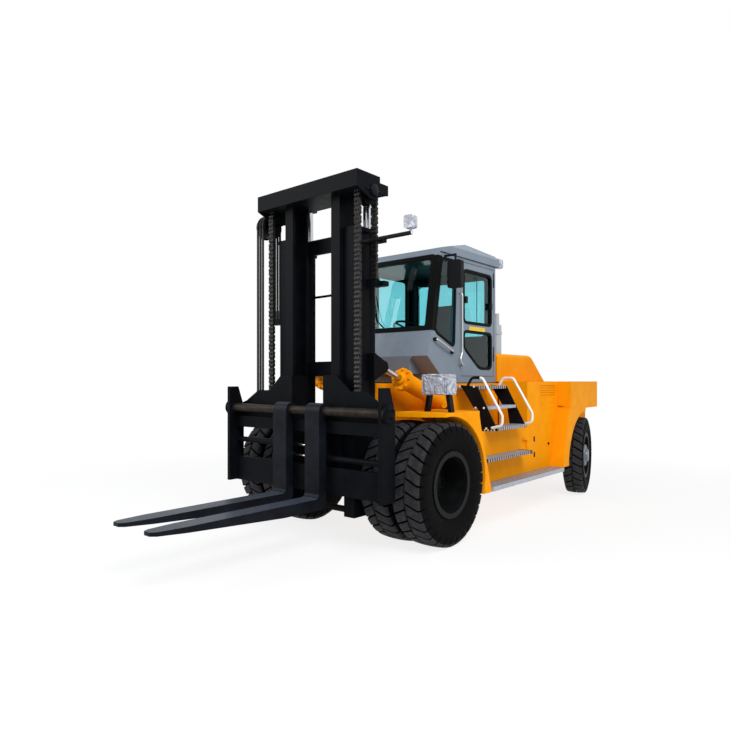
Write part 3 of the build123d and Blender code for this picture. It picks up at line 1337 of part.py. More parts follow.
def nodes():
    """Every node's name with its piece or pieces."""
    front_chain = chain_run(SHEAVE_X + SHEAVE_R, CARRIAGE_TOP - 43)
    back_chain = chain_run(SHEAVE_X - SHEAVE_R, CHAIN_ANCHOR_Z)
    yield "frame", frame()
    yield "engine", engine()
    yield "cab_platform", cab_platform()
    yield "front_axle", front_axle()
    yield "rear_axle", rear_axle()
    yield "front_fenders", sides(fender())
    yield "side_tanks", sides(side_tank())
    yield "side_treads", sides(side_treads()) + ladder_treads()
    yield "body_sides", sides(body_side())
    yield "counterweight", counterweight()
    yield "radiator_grille", radiator_grille()
    yield "ladder", ladder()
    yield "handrails", handrails()
    yield "headlamps", sides(headlamp())
    yield "cab_body", cab_body()
    yield "cab_glass", cab_glass()
    yield "cab_roof", cab_roof()
    yield "cab_mirrors", sides(cab_mirror())
    yield "seat", seat()
    yield "console", console()
    yield "steering_wheel", steering_wheel()
    yield "door", door()
    yield "door_glass", door_glass()
    yield "hood", hood()
    yield "exhaust_stack", exhaust_stack()
    yield "mast_outer", mast_outer()
    yield "lift_barrels", sides(lift_barrel())
    yield "mast_lamp", mast_lamp()
    yield "mast_inner", mast_inner()
    yield "lift_rods", sides(lift_rod())
    yield "chain_sheaves", sides(sheave())
    yield "chain_wraps", sides(chain_wrap())
    yield "chains_front", sides(front_chain)
    yield "chains_back", sides(back_chain)
    yield "hose_sheave", hose_sheave()
    yield "hose_bends", hose_bends()
    yield "hoses_front", hose_run(SHEAVE_X + SHEAVE_R, CARRIAGE_TOP - 150)
    yield "hoses_back", hose_run(SHEAVE_X - SHEAVE_R, HOSE_ANCHOR_Z)
    yield "carriage_frame", carriage_frame()
    yield "carriage_plates", sides(carriage_plate()) + [hose_block()]
    yield "fork_shaft", fork_shaft()
    yield "fork_left", fork()
    yield "fork_right", right_fork()
    yield "positioner_barrels", [positioner_barrel(1), positioner_barrel(-1)]
    yield "positioner_rod_left", positioner_rod(1)
    yield "positioner_rod_right", positioner_rod(-1)
    yield "tilt_barrel_left", tilt_barrel()
    yield "tilt_barrel_right", mirrored(tilt_barrel())
    yield "tilt_rod_left", tilt_rod()
    yield "tilt_rod_right", mirrored(tilt_rod())
    yield "front_tyres_left", front_tyres()
    yield "front_tyres_right", [mirrored(piece) for piece in front_tyres()]
    yield "front_rims_left", front_rims()
    yield "front_rims_right", mirrored(front_rims())
    for side, word in ((1, "left"), (-1, "right")):
        yield f"knuckle_{word}", steered(knuckle(), side)
        yield f"rear_tyre_{word}", steered(rear_tyre(), side)
        yield f"rear_rim_{word}", steered(rear_rim(), side)


if __name__ == "__main__":
    os.makedirs("parts", exist_ok=True)
    for node, piece in nodes():
        write(node, piece)
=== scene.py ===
import math
import bpy
import numpy as np
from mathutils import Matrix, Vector


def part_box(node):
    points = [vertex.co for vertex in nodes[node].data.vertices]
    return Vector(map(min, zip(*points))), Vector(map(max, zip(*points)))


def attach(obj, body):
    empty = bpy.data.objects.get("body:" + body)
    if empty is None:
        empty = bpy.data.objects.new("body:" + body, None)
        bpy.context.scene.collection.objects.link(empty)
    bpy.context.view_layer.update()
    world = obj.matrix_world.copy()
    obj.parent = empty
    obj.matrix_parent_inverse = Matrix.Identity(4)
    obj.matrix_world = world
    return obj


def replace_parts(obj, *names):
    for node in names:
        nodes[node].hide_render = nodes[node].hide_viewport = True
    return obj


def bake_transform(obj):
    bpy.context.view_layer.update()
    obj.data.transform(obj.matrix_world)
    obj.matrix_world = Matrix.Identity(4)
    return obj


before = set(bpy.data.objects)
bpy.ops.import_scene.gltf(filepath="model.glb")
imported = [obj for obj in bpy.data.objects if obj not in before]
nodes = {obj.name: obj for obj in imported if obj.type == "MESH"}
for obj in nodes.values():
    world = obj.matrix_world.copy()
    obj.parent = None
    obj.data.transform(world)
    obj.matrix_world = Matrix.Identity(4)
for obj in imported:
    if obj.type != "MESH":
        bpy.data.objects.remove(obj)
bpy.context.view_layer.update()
sides = ((1, "left"), (-1, "right"))  # the truck's left is +Y
print("frame loaded:", len(nodes), "nodes")


def span(node):  # lowest and highest corner of a node as arrays
    low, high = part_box(node)
    return np.array(low), np.array(high)


def middle(node):  # halfway between the two corners
    low, high = span(node)
    return (low + high) / 2


def linear(text):  # sRGB hex to linear: the sRGB curve undone, channel by channel
    srgb = np.array([int(text[k:k + 2], 16) / 255 for k in (1, 3, 5)])
    rgb = np.where(srgb <= 0.04045, srgb / 12.92, ((srgb + 0.055) / 1.055) ** 2.4)
    return (*rgb.tolist(), 1.0)


def addNode(tree, kind, inputs=None, stops=(), **settings):
    # one node with its settings, values, links and ramp stops; a node given as a value links its first output
    node = tree.nodes.new(kind)
    for key, value in settings.items():
        setattr(node, key, value)
    for key, value in (inputs or {}).items():
        if isinstance(value, bpy.types.Node):
            value = value.outputs[0]
        if isinstance(value, bpy.types.NodeSocket):
            tree.links.new(value, node.inputs[key])
        else:
            node.inputs[key].default_value = value
    stops = list(stops)
    for extra in stops[2:]:  # a new ramp has two stops already
        node.color_ramp.elements.new(0.5)
    for index, (position, colour) in enumerate(stops):
        node.color_ramp.elements[index].position = position
        node.color_ramp.elements[index].color = linear(colour)
    return node


# materials: a pattern's scale is 1000 / its size in mm

def newMaterial(name):  # an empty node material, its tree and its Object coordinates
    material = bpy.data.materials.new(name)
    material.use_nodes = True
    tree = material.node_tree
    tree.nodes.clear()
    return material, tree, addNode(tree, "ShaderNodeTexCoord").outputs["Object"]


paintLook = {"drift": {"Detail": 5.0, "Roughness": 0.6}, "stops": (0.35, 0.72),
             "gloss": {"From Min": 0.3, "From Max": 0.7}, "smoother": 0.04, "duller": 0.05,
             "fine": {"Scale": 1000 / 9, "Detail": 3.0}, "bump": 0.6, "edgeSamples": 4,
             "sheenPatches": {"Scale": 1000 / 35, "Detail": 6.0, "Roughness": 0.7},
             "level": {"From Min": 0.75, "From Max": 0.97}}


def coated(name, colour, worn, roughness, coat=0.0, grainMm=220, metallic=0.0, bumpMm=0.0, edgeMm=5.0,
           mirror=0.5, rubbed=None):
    # a sprayed or cast surface: noise drifts softly from one colour to a worn one, rounded edges catch light
    look = paintLook
    material, tree, coords = newMaterial(name)
    drift = addNode(tree, "ShaderNodeTexNoise", {"Vector": coords, "Scale": 1000 / grainMm, **look["drift"]})
    tint = addNode(tree, "ShaderNodeValToRGB", {"Fac": drift}, zip(look["stops"], (colour, worn)))
    if rubbed:  # faces that look up get a painted blue grey sheen, broken into patches by noise
        upward = addNode(tree, "ShaderNodeSeparateXYZ", {"Vector": coords.node.outputs["Normal"]})
        sheenPatches = addNode(tree, "ShaderNodeTexNoise", {"Vector": coords, **look["sheenPatches"]})
        level = addNode(tree, "ShaderNodeMapRange", {"Value": upward.outputs["Z"], **look["level"]})
        amount = addNode(tree, "ShaderNodeMath", {0: level, 1: sheenPatches}, operation="MULTIPLY")
        tint = addNode(tree, "ShaderNodeMix", {"Factor": amount, "A": tint, "B": linear(rubbed)},
                       data_type="RGBA").outputs["Result"]
    gloss = addNode(tree, "ShaderNodeMapRange", {
        "Value": drift, **look["gloss"], "To Min": roughness - look["smoother"],
        "To Max": roughness + look["duller"]})
    normal = addNode(tree, "ShaderNodeBevel", {"Radius": edgeMm / 1000}, samples=look["edgeSamples"])
    if bumpMm:
        fine = addNode(tree, "ShaderNodeTexNoise", {"Vector": coords, **look["fine"]})
        normal = addNode(tree, "ShaderNodeBump", {
            "Height": fine, "Distance": bumpMm / 1000, "Strength": look["bump"], "Normal": normal})
    shader = addNode(tree, "ShaderNodeBsdfPrincipled", {
        "Base Color": tint, "Roughness": gloss, "Metallic": metallic, "Coat Weight": coat,
        "Specular IOR Level": mirror, "Normal": normal})
    addNode(tree, "ShaderNodeOutputMaterial", {"Surface": shader})
    return material


glassLook = {"tint": "#CDEFF2", "mirror": {"Color": (0.8, 0.9, 0.9, 1.0), "Roughness": 0.02}, "ior": 1.4}


def tintedGlass(name):
    # tinted safety glass: what is behind it turns pale cyan, and it mirrors the room at a low angle
    look = glassLook
    material, tree = newMaterial(name)[:2]
    through = addNode(tree, "ShaderNodeBsdfTransparent", {"Color": linear(look["tint"])})
    mirror = addNode(tree, "ShaderNodeBsdfGlossy", look["mirror"])
    glance = addNode(tree, "ShaderNodeFresnel", {"IOR": look["ior"]})
    leaving = addNode(tree, "ShaderNodeNewGeometry").outputs["Backfacing"]  # no mirror on the way out
    entering = addNode(tree, "ShaderNodeMath", {0: glance, 1: leaving}, operation="SUBTRACT", use_clamp=True)
    mixed = addNode(tree, "ShaderNodeMixShader", {"Fac": entering, 1: through, 2: mirror})
    addNode(tree, "ShaderNodeOutputMaterial", {"Surface": mixed})
    return material


rubberLook = {"dust": {"Scale": 1000 / 60, "Detail": 6.0, "Roughness": 0.7}, "stops": (0.42, 0.8),
              "grain": {"Scale": 1000 / 5, "Detail": 2.0}, "bump": {"Distance": 0.0012, "Strength": 0.5},
              "roughness": 0.72}


def tyreRubber(name, colour, dustAndSkyLight, mirror):
    # black rubber: nearly no shine on the moulded sidewall, a grey bloom of road dust by noise; the lighter
    # copy on top of the lugs is painted sky light
    look = rubberLook
    material, tree, coords = newMaterial(name)
    dust = addNode(tree, "ShaderNodeTexNoise", {"Vector": coords, **look["dust"]})
    tint = addNode(tree, "ShaderNodeValToRGB", {"Fac": dust}, zip(look["stops"], (colour, dustAndSkyLight)))
    fine = addNode(tree, "ShaderNodeTexNoise", {"Vector": coords, **look["grain"]})
    bump = addNode(tree, "ShaderNodeBump", {"Height": fine, **look["bump"]})
    shader = addNode(tree, "ShaderNodeBsdfPrincipled", {
        "Base Color": tint, "Roughness": look["roughness"], "Specular IOR Level": mirror, "Normal": bump})
    addNode(tree, "ShaderNodeOutputMaterial", {"Surface": shader})
    return material


plankLook = {"cells": {"Scale": 1000 / 58, "Randomness": 0.0}, "zinc": {"Scale": 1000 / 25, "Detail": 3.0},
             "skin": ((0.3, "#959BA4"), (0.75, "#B6BBC4")), "hole": "#1E2125",
             "rim": {"From Min": 0.27, "From Max": 0.33}, "bump": {"Distance": 0.004, "Strength": 0.7},
             "shine": {"Roughness": 0.45, "Metallic": 0.25}}


def punchedSteel(name):
    # galvanised plank: bright zinc skin, rows of punched holes as dark dots, drawn coarser so that they show
    look = plankLook
    material, tree, coords = newMaterial(name)
    cells = addNode(tree, "ShaderNodeTexVoronoi", {"Vector": coords, **look["cells"]},
                    voronoi_dimensions="2D")
    zinc = addNode(tree, "ShaderNodeTexNoise", {"Vector": coords, **look["zinc"]})
    skin = addNode(tree, "ShaderNodeValToRGB", {"Fac": zinc}, look["skin"])
    solid = addNode(tree, "ShaderNodeMapRange", {"Value": cells.outputs["Distance"], **look["rim"]})
    tint = addNode(tree, "ShaderNodeMix", {"Factor": solid, "A": linear(look["hole"]), "B": skin},
                   data_type="RGBA").outputs["Result"]
    bump = addNode(tree, "ShaderNodeBump", {"Height": solid, **look["bump"]})
    shader = addNode(tree, "ShaderNodeBsdfPrincipled", {"Base Color": tint, "Normal": bump, **look["shine"]})
    addNode(tree, "ShaderNodeOutputMaterial", {"Surface": shader})
    return material


filmLook = {"folds": {"Scale": 1000 / 110, "Detail": 3.0, "Roughness": 0.55, "Distortion": 1.8},
            "shades": ((0.30, "#7C7F8A"), (0.5, "#A8ABB6"), (0.70, "#D2D4DC")),
            "bump": {"Distance": 0.03, "Strength": 0.8}, "roughness": 0.18}


def wrappedLamp(name):
    # a lamp under clear packing film: pale silver, crumpled into sharp highlights
    look = filmLook
    material, tree, coords = newMaterial(name)
    folds = addNode(tree, "ShaderNodeTexNoise", {"Vector": coords, **look["folds"]})
    tint = addNode(tree, "ShaderNodeValToRGB", {"Fac": folds}, look["shades"])
    bump = addNode(tree, "ShaderNodeBump", {"Height": folds, **look["bump"]})
    shader = addNode(tree, "ShaderNodeBsdfPrincipled", {
        "Base Color": tint, "Roughness": look["roughness"], "Normal": bump})
    addNode(tree, "ShaderNodeOutputMaterial", {"Surface": shader})
    return material


# sprayed enamels, softly glossy: warm orange body, blue grey cab, white rails, pale stack, yellow plate
orangePaint = coated("two-pack orange enamel", "#F79D08", "#EE9305", 0.50, mirror=0.04)
greyPaint = coated("cab grey enamel", "#76828F", "#707C89", 0.40, coat=0.06, mirror=0.3)
railPaint = coated("white rail enamel", "#F0F0EC", "#E4E4DF", 0.3, coat=0.3)
stackPaint = coated("light grey stack paint", "#AEB4B9", "#A2A8AD", 0.4)
yellowPlate = coated("yellow enamel plate", "#E9C21A", "#DDB516", 0.4, grainMm=60, edgeMm=1.0)
# black paint on steel: satin on the rolled mast, a painted blue grey sheen on top of the forks, dull on the
# axles
mastPaint = coated("black mast paint", "#090A0D", "#0F1115", 0.44, grainMm=160, bumpMm=0.4, mirror=0.035)
forkPaint = coated("black forged fork steel", "#0C0E12", "#161A22", 0.38, grainMm=240, bumpMm=0.3,
                   mirror=0.07, rubbed="#4A515E")
chassisPaint = coated("black axle paint", "#0B0C0D", "#121314", 0.5, grainMm=90, bumpMm=0.5, mirror=0.1)
# grainy dark grey iron, and hub covers in silver paint with a soft metallic glint
castIron = coated("painted cast iron", "#3A3C3E", "#2C2D2F", 0.55, grainMm=50, bumpMm=0.8)
hubPaint = coated("silver hub paint", "#565B64", "#747984", 0.4, grainMm=60, metallic=0.4)
# bare metals: a shaft worn to brown, oily chain, mirror-like rods with faint oil, pale zinc, silvered glass
shaftSteel = coated("rubbed shaft steel", "#120F0D", "#352A23", 0.45, grainMm=70, metallic=0.1, bumpMm=0.4,
                    mirror=0.12)
chainSteel = coated("oiled chain steel", "#19191B", "#34322F", 0.36, grainMm=30, metallic=0.6, edgeMm=1.5,
                    mirror=0.3)
rodChrome = coated("hard chrome rod", "#C9CDD1", "#B9BDC2", 0.14, grainMm=40, metallic=1.0, edgeMm=1.5)
brightBolt = coated("zinc plated steel", "#C6C9C7", "#B0B4B3", 0.3, grainMm=14, metallic=0.9, edgeMm=1.0)
mirrorSilver = coated("silvered mirror glass", "#D8DCDF", "#CDD2D6", 0.07, grainMm=200, metallic=1.0,
                      edgeMm=1.0)
treadSteel = punchedSteel("galvanised punched plank")
# rubber, plastic and cloth: matt blacks, each with its own fine grain
tyreBlack = tyreRubber("tyre sidewall rubber", "#0A0A0B", "#131314", 0.03)
# the tread copy is lighter all over: painted sky light on the lug tops, with road dust in its noise
tyreDustAndSkyLight = tyreRubber("tyre tread rubber with painted sky light", "#262628", "#3C3C3E", 0.08)
hoseRubber = coated("hydraulic hose rubber", "#101114", "#18191C", 0.5, grainMm=25, bumpMm=0.3, edgeMm=1.0,
                    mirror=0.3)
blackRubber = coated("gasket rubber", "#08090A", "#0E0F10", 0.6, grainMm=20, bumpMm=0.2, edgeMm=1.0,
                     mirror=0.06)
trimPlastic = coated("grained black trim", "#101113", "#16171A", 0.55, grainMm=40, bumpMm=0.3, mirror=0.12)
seatCloth = coated("woven seat cloth", "#1F2226", "#2A2E33", 0.85, grainMm=20, bumpMm=0.8, mirror=0.2)
# glass and lenses: moulded prisms in the lenses sparkle a little
cabGlass = tintedGlass("tinted cab glass")
lampFilm = wrappedLamp("film wrapped lamp")
redLens = coated("red lamp lens", "#8E1512", "#7A100E", 0.2, grainMm=10, bumpMm=0.6, edgeMm=1.5)
amberLens = coated("amber lamp lens", "#C8700E", "#B5620A", 0.2, grainMm=10, bumpMm=0.6, edgeMm=1.5)

finishes = {
    orangePaint: ["frame", "cab_platform", "front_fenders", "side_tanks", "body_sides", "counterweight",
                  "hood", "tilt_barrel_left", "tilt_barrel_right"],
    greyPaint: ["cab_body", "cab_roof", "door"],
    mastPaint: ["mast_outer", "lift_barrels", "mast_inner", "chain_sheaves", "hose_sheave", "carriage_frame",
                "carriage_plates", "positioner_barrels"],
    shaftSteel: ["fork_shaft"],
    forkPaint: ["fork_left", "fork_right"],
    chassisPaint: ["front_axle", "rear_axle", "radiator_grille", "ladder", "rear_rim_left", "rear_rim_right",
                   "front_rims_left", "front_rims_right", "knuckle_left", "knuckle_right"],
    railPaint: ["handrails"],
    stackPaint: ["exhaust_stack"],
    castIron: ["engine"],
    treadSteel: ["side_treads"],
    chainSteel: ["chains_front", "chains_back", "chain_wraps"],
    rodChrome: ["lift_rods", "positioner_rod_left", "positioner_rod_right", "tilt_rod_left",
                "tilt_rod_right"],
    tyreBlack: ["front_tyres_left", "front_tyres_right", "rear_tyre_left", "rear_tyre_right"],
    hoseRubber: ["hose_bends", "hoses_front", "hoses_back"],
    cabGlass: ["cab_glass", "door_glass"],
    trimPlastic: ["cab_mirrors", "console", "steering_wheel"],
    seatCloth: ["seat"],
    lampFilm: ["headlamps", "mast_lamp"],
}
for material, names in finishes.items():
    for name in names:
        nodes[name].data.materials.clear()
        nodes[name].data.materials.append(material)
print("materials:", len(finishes))


# mesh helpers

def putMesh(name, points, faces, material, smooth=True):  # points (n, 3), faces a list of index arrays
    mesh = bpy.data.meshes.new(name)
    mesh.from_pydata(points.tolist(), [], [face for block in faces for face in block.tolist()])
    mesh.materials.append(material)
    mesh.polygons.foreach_set("use_smooth", np.full(len(mesh.polygons), smooth))
    mesh.update()
    piece = bpy.data.objects.new(name, mesh)
    bpy.context.scene.collection.objects.link(piece)
    return piece


def gridFaces(rows, columns, closeRows=True, closeColumns=False):  # quads of a grid of points, row by row
    i, j = np.meshgrid(np.arange(rows if closeRows else rows - 1),
                       np.arange(columns if closeColumns else columns - 1), indexing="ij")
    below = (i + 1) % rows
    beside = (j + 1) % columns
    corners = [i * columns + j, below * columns + j, below * columns + beside, i * columns + beside]
    return np.stack(corners, -1).reshape(-1, 4)


def repeated(faces, count, times):  # the same faces for many copies of a shape of count points
    offsets = (np.arange(times) * count)[:, None, None]
    return [(block[None] + offsets).reshape(-1, block.shape[1]) for block in faces]


def copies(points, faces, places):  # one small shape at many places, as one mesh
    return (points[None] + places[:, None]).reshape(-1, 3), repeated(faces, len(points), len(places))


def prism(outline, low, high):  # a flat outline (n, 2) given two heights: walls, then a cap at each end
    n = len(outline)
    points = np.concatenate([np.c_[outline, np.full(n, low)], np.c_[outline, np.full(n, high)]])
    k = np.arange(n)
    walls = np.stack([k, (k + 1) % n, (k + 1) % n + n, k + n], -1)
    return points, [walls, k[::-1][None], (k + n)[None]]


def spin(points, degreesTurned, centre):  # turn points about an upright axis
    turn = math.radians(degreesTurned)
    c, s = math.cos(turn), math.sin(turn)
    x, y, z = (points - centre).T
    return np.stack([c * x - s * y, s * x + c * y, z], -1) + centre


# tyres

frontTyre = {"radius": 0.685, "halfTread": 0.170, "halfWidth": 0.1875, "beadHalf": 0.148, "lugs": 32,
             "depth": 0.030}
rearTyre = {"radius": 0.6125, "halfTread": 0.142, "halfWidth": 0.1575, "beadHalf": 0.1205, "lugs": 30,
            "depth": 0.028}
tyreForm = {"beadRadius": 0.3305, "flange": 0.370, "groove": (0.006, 0.014), "grooveHalf": 0.010,
            "slant": 0.62, "treadSteps": (0.29, 0.53, 0.78, 0.895), "crown": 0.008, "crownAt": 0.79,
            "shoulderSteps": (0.96, 1.0), "shoulderDrop": (0.021, 0.045), "wallSteps": 12,
            "rib": 0.004, "ribAt": 0.055, "ribWide": 0.012, "lugFoot": 0.120, "lugFade": 0.06,
            "lugPlace": (0.0, 0.025, 0.28, 0.54, 0.795, 0.82, 0.845, 0.91, 0.975),
            "lugHeight": (0.84, 1.0, 1.0, 1.0, 1.0, 0.84, 0.0, 0.0, 0.0), "topUntil": 0.8, "topWithin": 0.05,
            "crisp": 38}
wheel = {"frontY": (1.250, 0.820), "rearY": 1.200, "kingpinY": 1.000, "steer": 13.0}
axleX = middle("front_axle")[0]
rearX = middle("rear_axle")[0]


def tyreSurface(t):
    # radius over (turn, across): a crowned profile, lowered along its normal in slots between slanted lugs;
    # the grid is sheared along the lugs, and half a pitch apart on the two halves, so slot walls stay crisp
    f = tyreForm
    edge = t["halfTread"]
    treadY = np.concatenate([f["groove"], np.array(f["treadSteps"]) * edge])
    treadR = t["radius"] - f["crown"] * (treadY / (f["crownAt"] * edge)) ** 2
    shoulderY = np.array(f["shoulderSteps"]) * edge
    shoulderR = t["radius"] - np.array(f["shoulderDrop"])
    a = np.linspace(0, 1, f["wallSteps"])[1:]
    wallR = shoulderR[-1] + (f["flange"] - shoulderR[-1]) * a
    bulge = t["halfWidth"] - (edge + t["beadHalf"]) / 2
    wallY = edge + (t["beadHalf"] - edge) * a + bulge * np.sin(np.pi * a)
    wallY += f["rib"] * np.exp(-((wallR - f["flange"] - f["ribAt"]) / f["ribWide"]) ** 2)
    halfY = np.concatenate([treadY, shoulderY, wallY, [t["beadHalf"]]])
    halfR = np.concatenate([treadR, shoulderR, wallR, [f["beadRadius"]]])
    fade = np.clip((halfR - t["radius"] + f["lugFoot"]) / f["lugFade"], 0, 1)  # lugs fade down the sidewall
    sink = np.where(halfY <= f["grooveHalf"], 1.0, fade)
    across = np.concatenate([halfY[::-1], -halfY])
    radial = np.concatenate([halfR[::-1], halfR])
    depth = t["depth"] * np.concatenate([sink[::-1], sink])
    stands = (depth > 0) & (np.abs(across) > f["grooveHalf"])
    step = np.abs(np.stack([np.gradient(radial), np.gradient(across)], -1))
    step /= np.linalg.norm(step, axis=1, keepdims=True)
    lean = step * np.stack([np.sign(across), np.ones(len(across))], -1)
    lugPlace = np.array(f["lugPlace"])
    turn = (np.arange(t["lugs"])[:, None] + lugPlace).ravel() / t["lugs"]
    height = np.tile(f["lugHeight"], t["lugs"])[:, None]
    shear = f["slant"] * np.minimum(np.abs(across), edge) / edge + np.where(across < 0, 0.5, 0.0)
    angle = 2 * np.pi * (turn[:, None] + shear / t["lugs"])
    lowered = np.where(stands, (1 - height) * depth, depth)
    r = radial - lowered * lean[:, 1]
    points = np.stack([r * np.sin(angle), across - lowered * lean[:, 0], r * np.cos(angle)], -1)
    nearTop = np.minimum(radial, np.roll(radial, -1)) > t["radius"] - f["topWithin"]
    dustAndSkyLight = np.tile(lugPlace < f["topUntil"], t["lugs"])[:, None] & nearTop  # lug tops that roll on the ground, which get painted sky light
    return points.reshape(-1, 3), [gridFaces(len(turn), len(across), True, True)], dustAndSkyLight.ravel()


def fitTyres(node, body, shape, centres, steer=0.0, pivot=(0.0, 0.0, 0.0)):  # tyres of one body as one piece
    surface, quads, dustAndSkyLight = shape
    points, faces = copies(surface, quads, np.array(centres))
    piece = putMesh(node + "_tread", spin(points, steer, np.array(pivot)), faces, tyreBlack)
    # lug tops take the lighter tread rubber: painted sky light
    piece.data.materials.append(tyreDustAndSkyLight)
    piece.data.polygons.foreach_set("material_index", np.tile(dustAndSkyLight, len(centres)).astype(np.int32))
    piece.modifiers.new("crisp lugs", "EDGE_SPLIT").split_angle = math.radians(tyreForm["crisp"])
    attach(piece, body)
    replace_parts(piece, node)


frontShape, rearShape = tyreSurface(frontTyre), tyreSurface(rearTyre)
for side, word in sides:
    centres = [(axleX, side * y, frontTyre["radius"]) for y in wheel["frontY"]]
    fitTyres("front_tyres_" + word, "wheel_front_" + word, frontShape, centres)
    centres = [(rearX, side * wheel["rearY"], rearTyre["radius"])]
    pivot = (rearX, side * wheel["kingpinY"], 0)
    fitTyres("rear_tyre_" + word, "wheel_rear_" + word, rearShape, centres, wheel["steer"], pivot)
print("tyres done")


# lift chains

chain = {"pitch": 0.0508, "plate": 0.0095, "plates": 7, "gap": 0.0112, "eye": 0.0215, "waist": 0.0155,
         "pin": 0.0105, "pinHalf": 0.041, "half": 0.039, "hold": 0.02, "eyeSteps": 7, "pinSides": 8,
         "bendSteps": 41}


def chainLink():
    # one leaf: round ends of the eye's radius about both pins, drawn in to the waist between them
    c = chain
    angle = np.linspace(0, np.pi, c["eyeSteps"])
    top = np.c_[c["eye"] * np.cos(angle), c["pitch"] / 2 + c["eye"] * np.sin(angle)]
    waistSide = np.array([[-c["waist"], 0.0]])
    return prism(np.concatenate([top, waistSide, -top, -waistSide]), -c["plate"] / 2, c["plate"] / 2)


def chainRun(name, path, y, body, other=None):
    # leaves and pins at equal steps along a path of (x, z) points; the path's slope turns each leaf
    c = chain
    steps = np.concatenate([[0], np.cumsum(np.linalg.norm(np.diff(path, axis=0), axis=1))])
    count = max(2, int(round(steps[-1] / c["pitch"])))
    along = (np.arange(count) + 0.5) / count * steps[-1]
    x, z = (np.interp(along, steps, path[:, k]) for k in (0, 1))
    slope = np.stack([np.interp(along, steps, np.gradient(path[:, k], steps)) for k in (0, 1)], -1)
    slope /= np.linalg.norm(slope, axis=1, keepdims=True)
    leaf, faces = chainLink()
    leaf[:, 1] *= steps[-1] / count / c["pitch"]
    link, row = np.meshgrid(np.arange(count), np.arange(c["plates"]), indexing="ij")
    keep = (link + row) % 2 == 0
    link, row = link[keep], row[keep]
    u, v = slope[link, :1], slope[link, 1:]
    px = x[link, None] + leaf[:, 0] * v + leaf[:, 1] * u
    pz = z[link, None] - leaf[:, 0] * u + leaf[:, 1] * v
    py = y + ((row - (c["plates"] - 1) / 2) * c["gap"])[:, None] + leaf[:, 2]
    points = np.stack([px, py, pz], -1).reshape(-1, 3)
    ring = np.linspace(0, 2 * np.pi, c["pinSides"], endpoint=False)
    pin, pinFaces = prism(c["pin"] * np.c_[np.cos(ring), np.sin(ring)], -c["pinHalf"], c["pinHalf"])
    knots = np.arange(count + 1) / count * steps[-1]
    where = np.stack([np.interp(knots, steps, path[:, 0]), np.full(count + 1, y),
                      np.interp(knots, steps, path[:, 1])], -1)
    pins, pinBlocks = copies(pin[:, [0, 2, 1]], pinFaces, where)
    allFaces = repeated(faces, len(leaf), len(link)) + [block + len(points) for block in pinBlocks]
    piece = putMesh(name, np.concatenate([points, pins]), allFaces, chainSteel, smooth=False)
    if other:
        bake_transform(piece)
    else:
        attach(piece, body)
    return piece


sheaveX, sheaveZ = middle("chain_sheaves")[[0, 2]]
chainY = span("chains_front")[1][1] - chain["half"]
chainReach = middle("chains_front")[0] - sheaveX
bend = np.linspace(0, np.pi, chain["bendSteps"])
wrapPath = np.c_[sheaveX + chainReach * np.cos(bend), sheaveZ + chainReach * np.sin(bend)]
for side, word in sides:
    y = side * chainY
    for run, body in (("front", "carriage"), ("back", "mast_outer")):
        x, low = middle("chains_" + run)[0], span("chains_" + run)[0][2]
        straight = np.array([[x, low], [x, sheaveZ]])
        piece = chainRun("lift_chain_" + run + "_" + word, straight, y, body, "mast_inner")
        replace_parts(piece, "chains_" + run)
    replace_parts(chainRun("lift_chain_wrap_" + word, wrapPath, y, "mast_inner"), "chain_wraps")
print("chains done")


# shapes shared by the trim

tip = 0.001  # radius at which a turned piece is closed


def rounded(corners, radius, steps=6):  # corners become parabolas, within 0.45 of an edge
    corners = np.array(corners, float)
    before = np.roll(corners, 1, 0) - corners
    after = np.roll(corners, -1, 0) - corners
    lengths = [np.linalg.norm(edge, axis=1, keepdims=True) for edge in (before, after)]
    reach = np.minimum(radius, 0.45 * np.minimum(*lengths))
    first = corners + before / lengths[0] * reach
    last = corners + after / lengths[1] * reach
    t = np.linspace(0, 1, steps)[None, :, None]
    curve = (1 - t) ** 2 * first[:, None] + 2 * t * (1 - t) * corners[:, None] + t ** 2 * last[:, None]
    return curve.reshape(-1, corners.shape[1])


def softPath(corners, radius, steps=8):  # an open path with the same rounding at its inner corners
    corners = np.array(corners, float)
    loop = rounded(corners, radius, steps).reshape(len(corners), steps, 3)
    return np.concatenate([corners[:1], loop[1:-1].reshape(-1, 3), corners[-1:]])


def tube(path, radius, around=12):  # circles carried along a path, closed by flat ends
    step = np.gradient(path, axis=0)
    step /= np.linalg.norm(step, axis=1, keepdims=True)
    level = np.abs(step[:, 2]).max() < 0.85  # a steep path takes its rings from a level direction
    across = np.cross(step, (0.0, 0.0, 1.0) if level else (0.31, 0.83, 0.0))
    across /= np.linalg.norm(across, axis=1, keepdims=True)
    up = np.cross(across, step)
    angle = np.linspace(0, 2 * np.pi, around, endpoint=False)[None, :, None]
    ring = np.cos(angle) * across[:, None] + np.sin(angle) * up[:, None]
    size = np.broadcast_to(np.asarray(radius, float), (len(path),))[:, None, None]
    points = (path[:, None] + size * ring).reshape(-1, 3)
    k = np.arange(around)
    last = k + (len(path) - 1) * around
    return points, [gridFaces(len(path), around, False, True)[:, ::-1], k[None], last[::-1][None]]


def squareTo(axis):  # two unit directions square to an axis and to each other
    u = np.cross(axis, (0.0, 0.0, 1.0) if abs(axis[2]) < 0.9 else (1.0, 0.0, 0.0))
    u /= np.linalg.norm(u)
    return u, np.cross(axis, u)


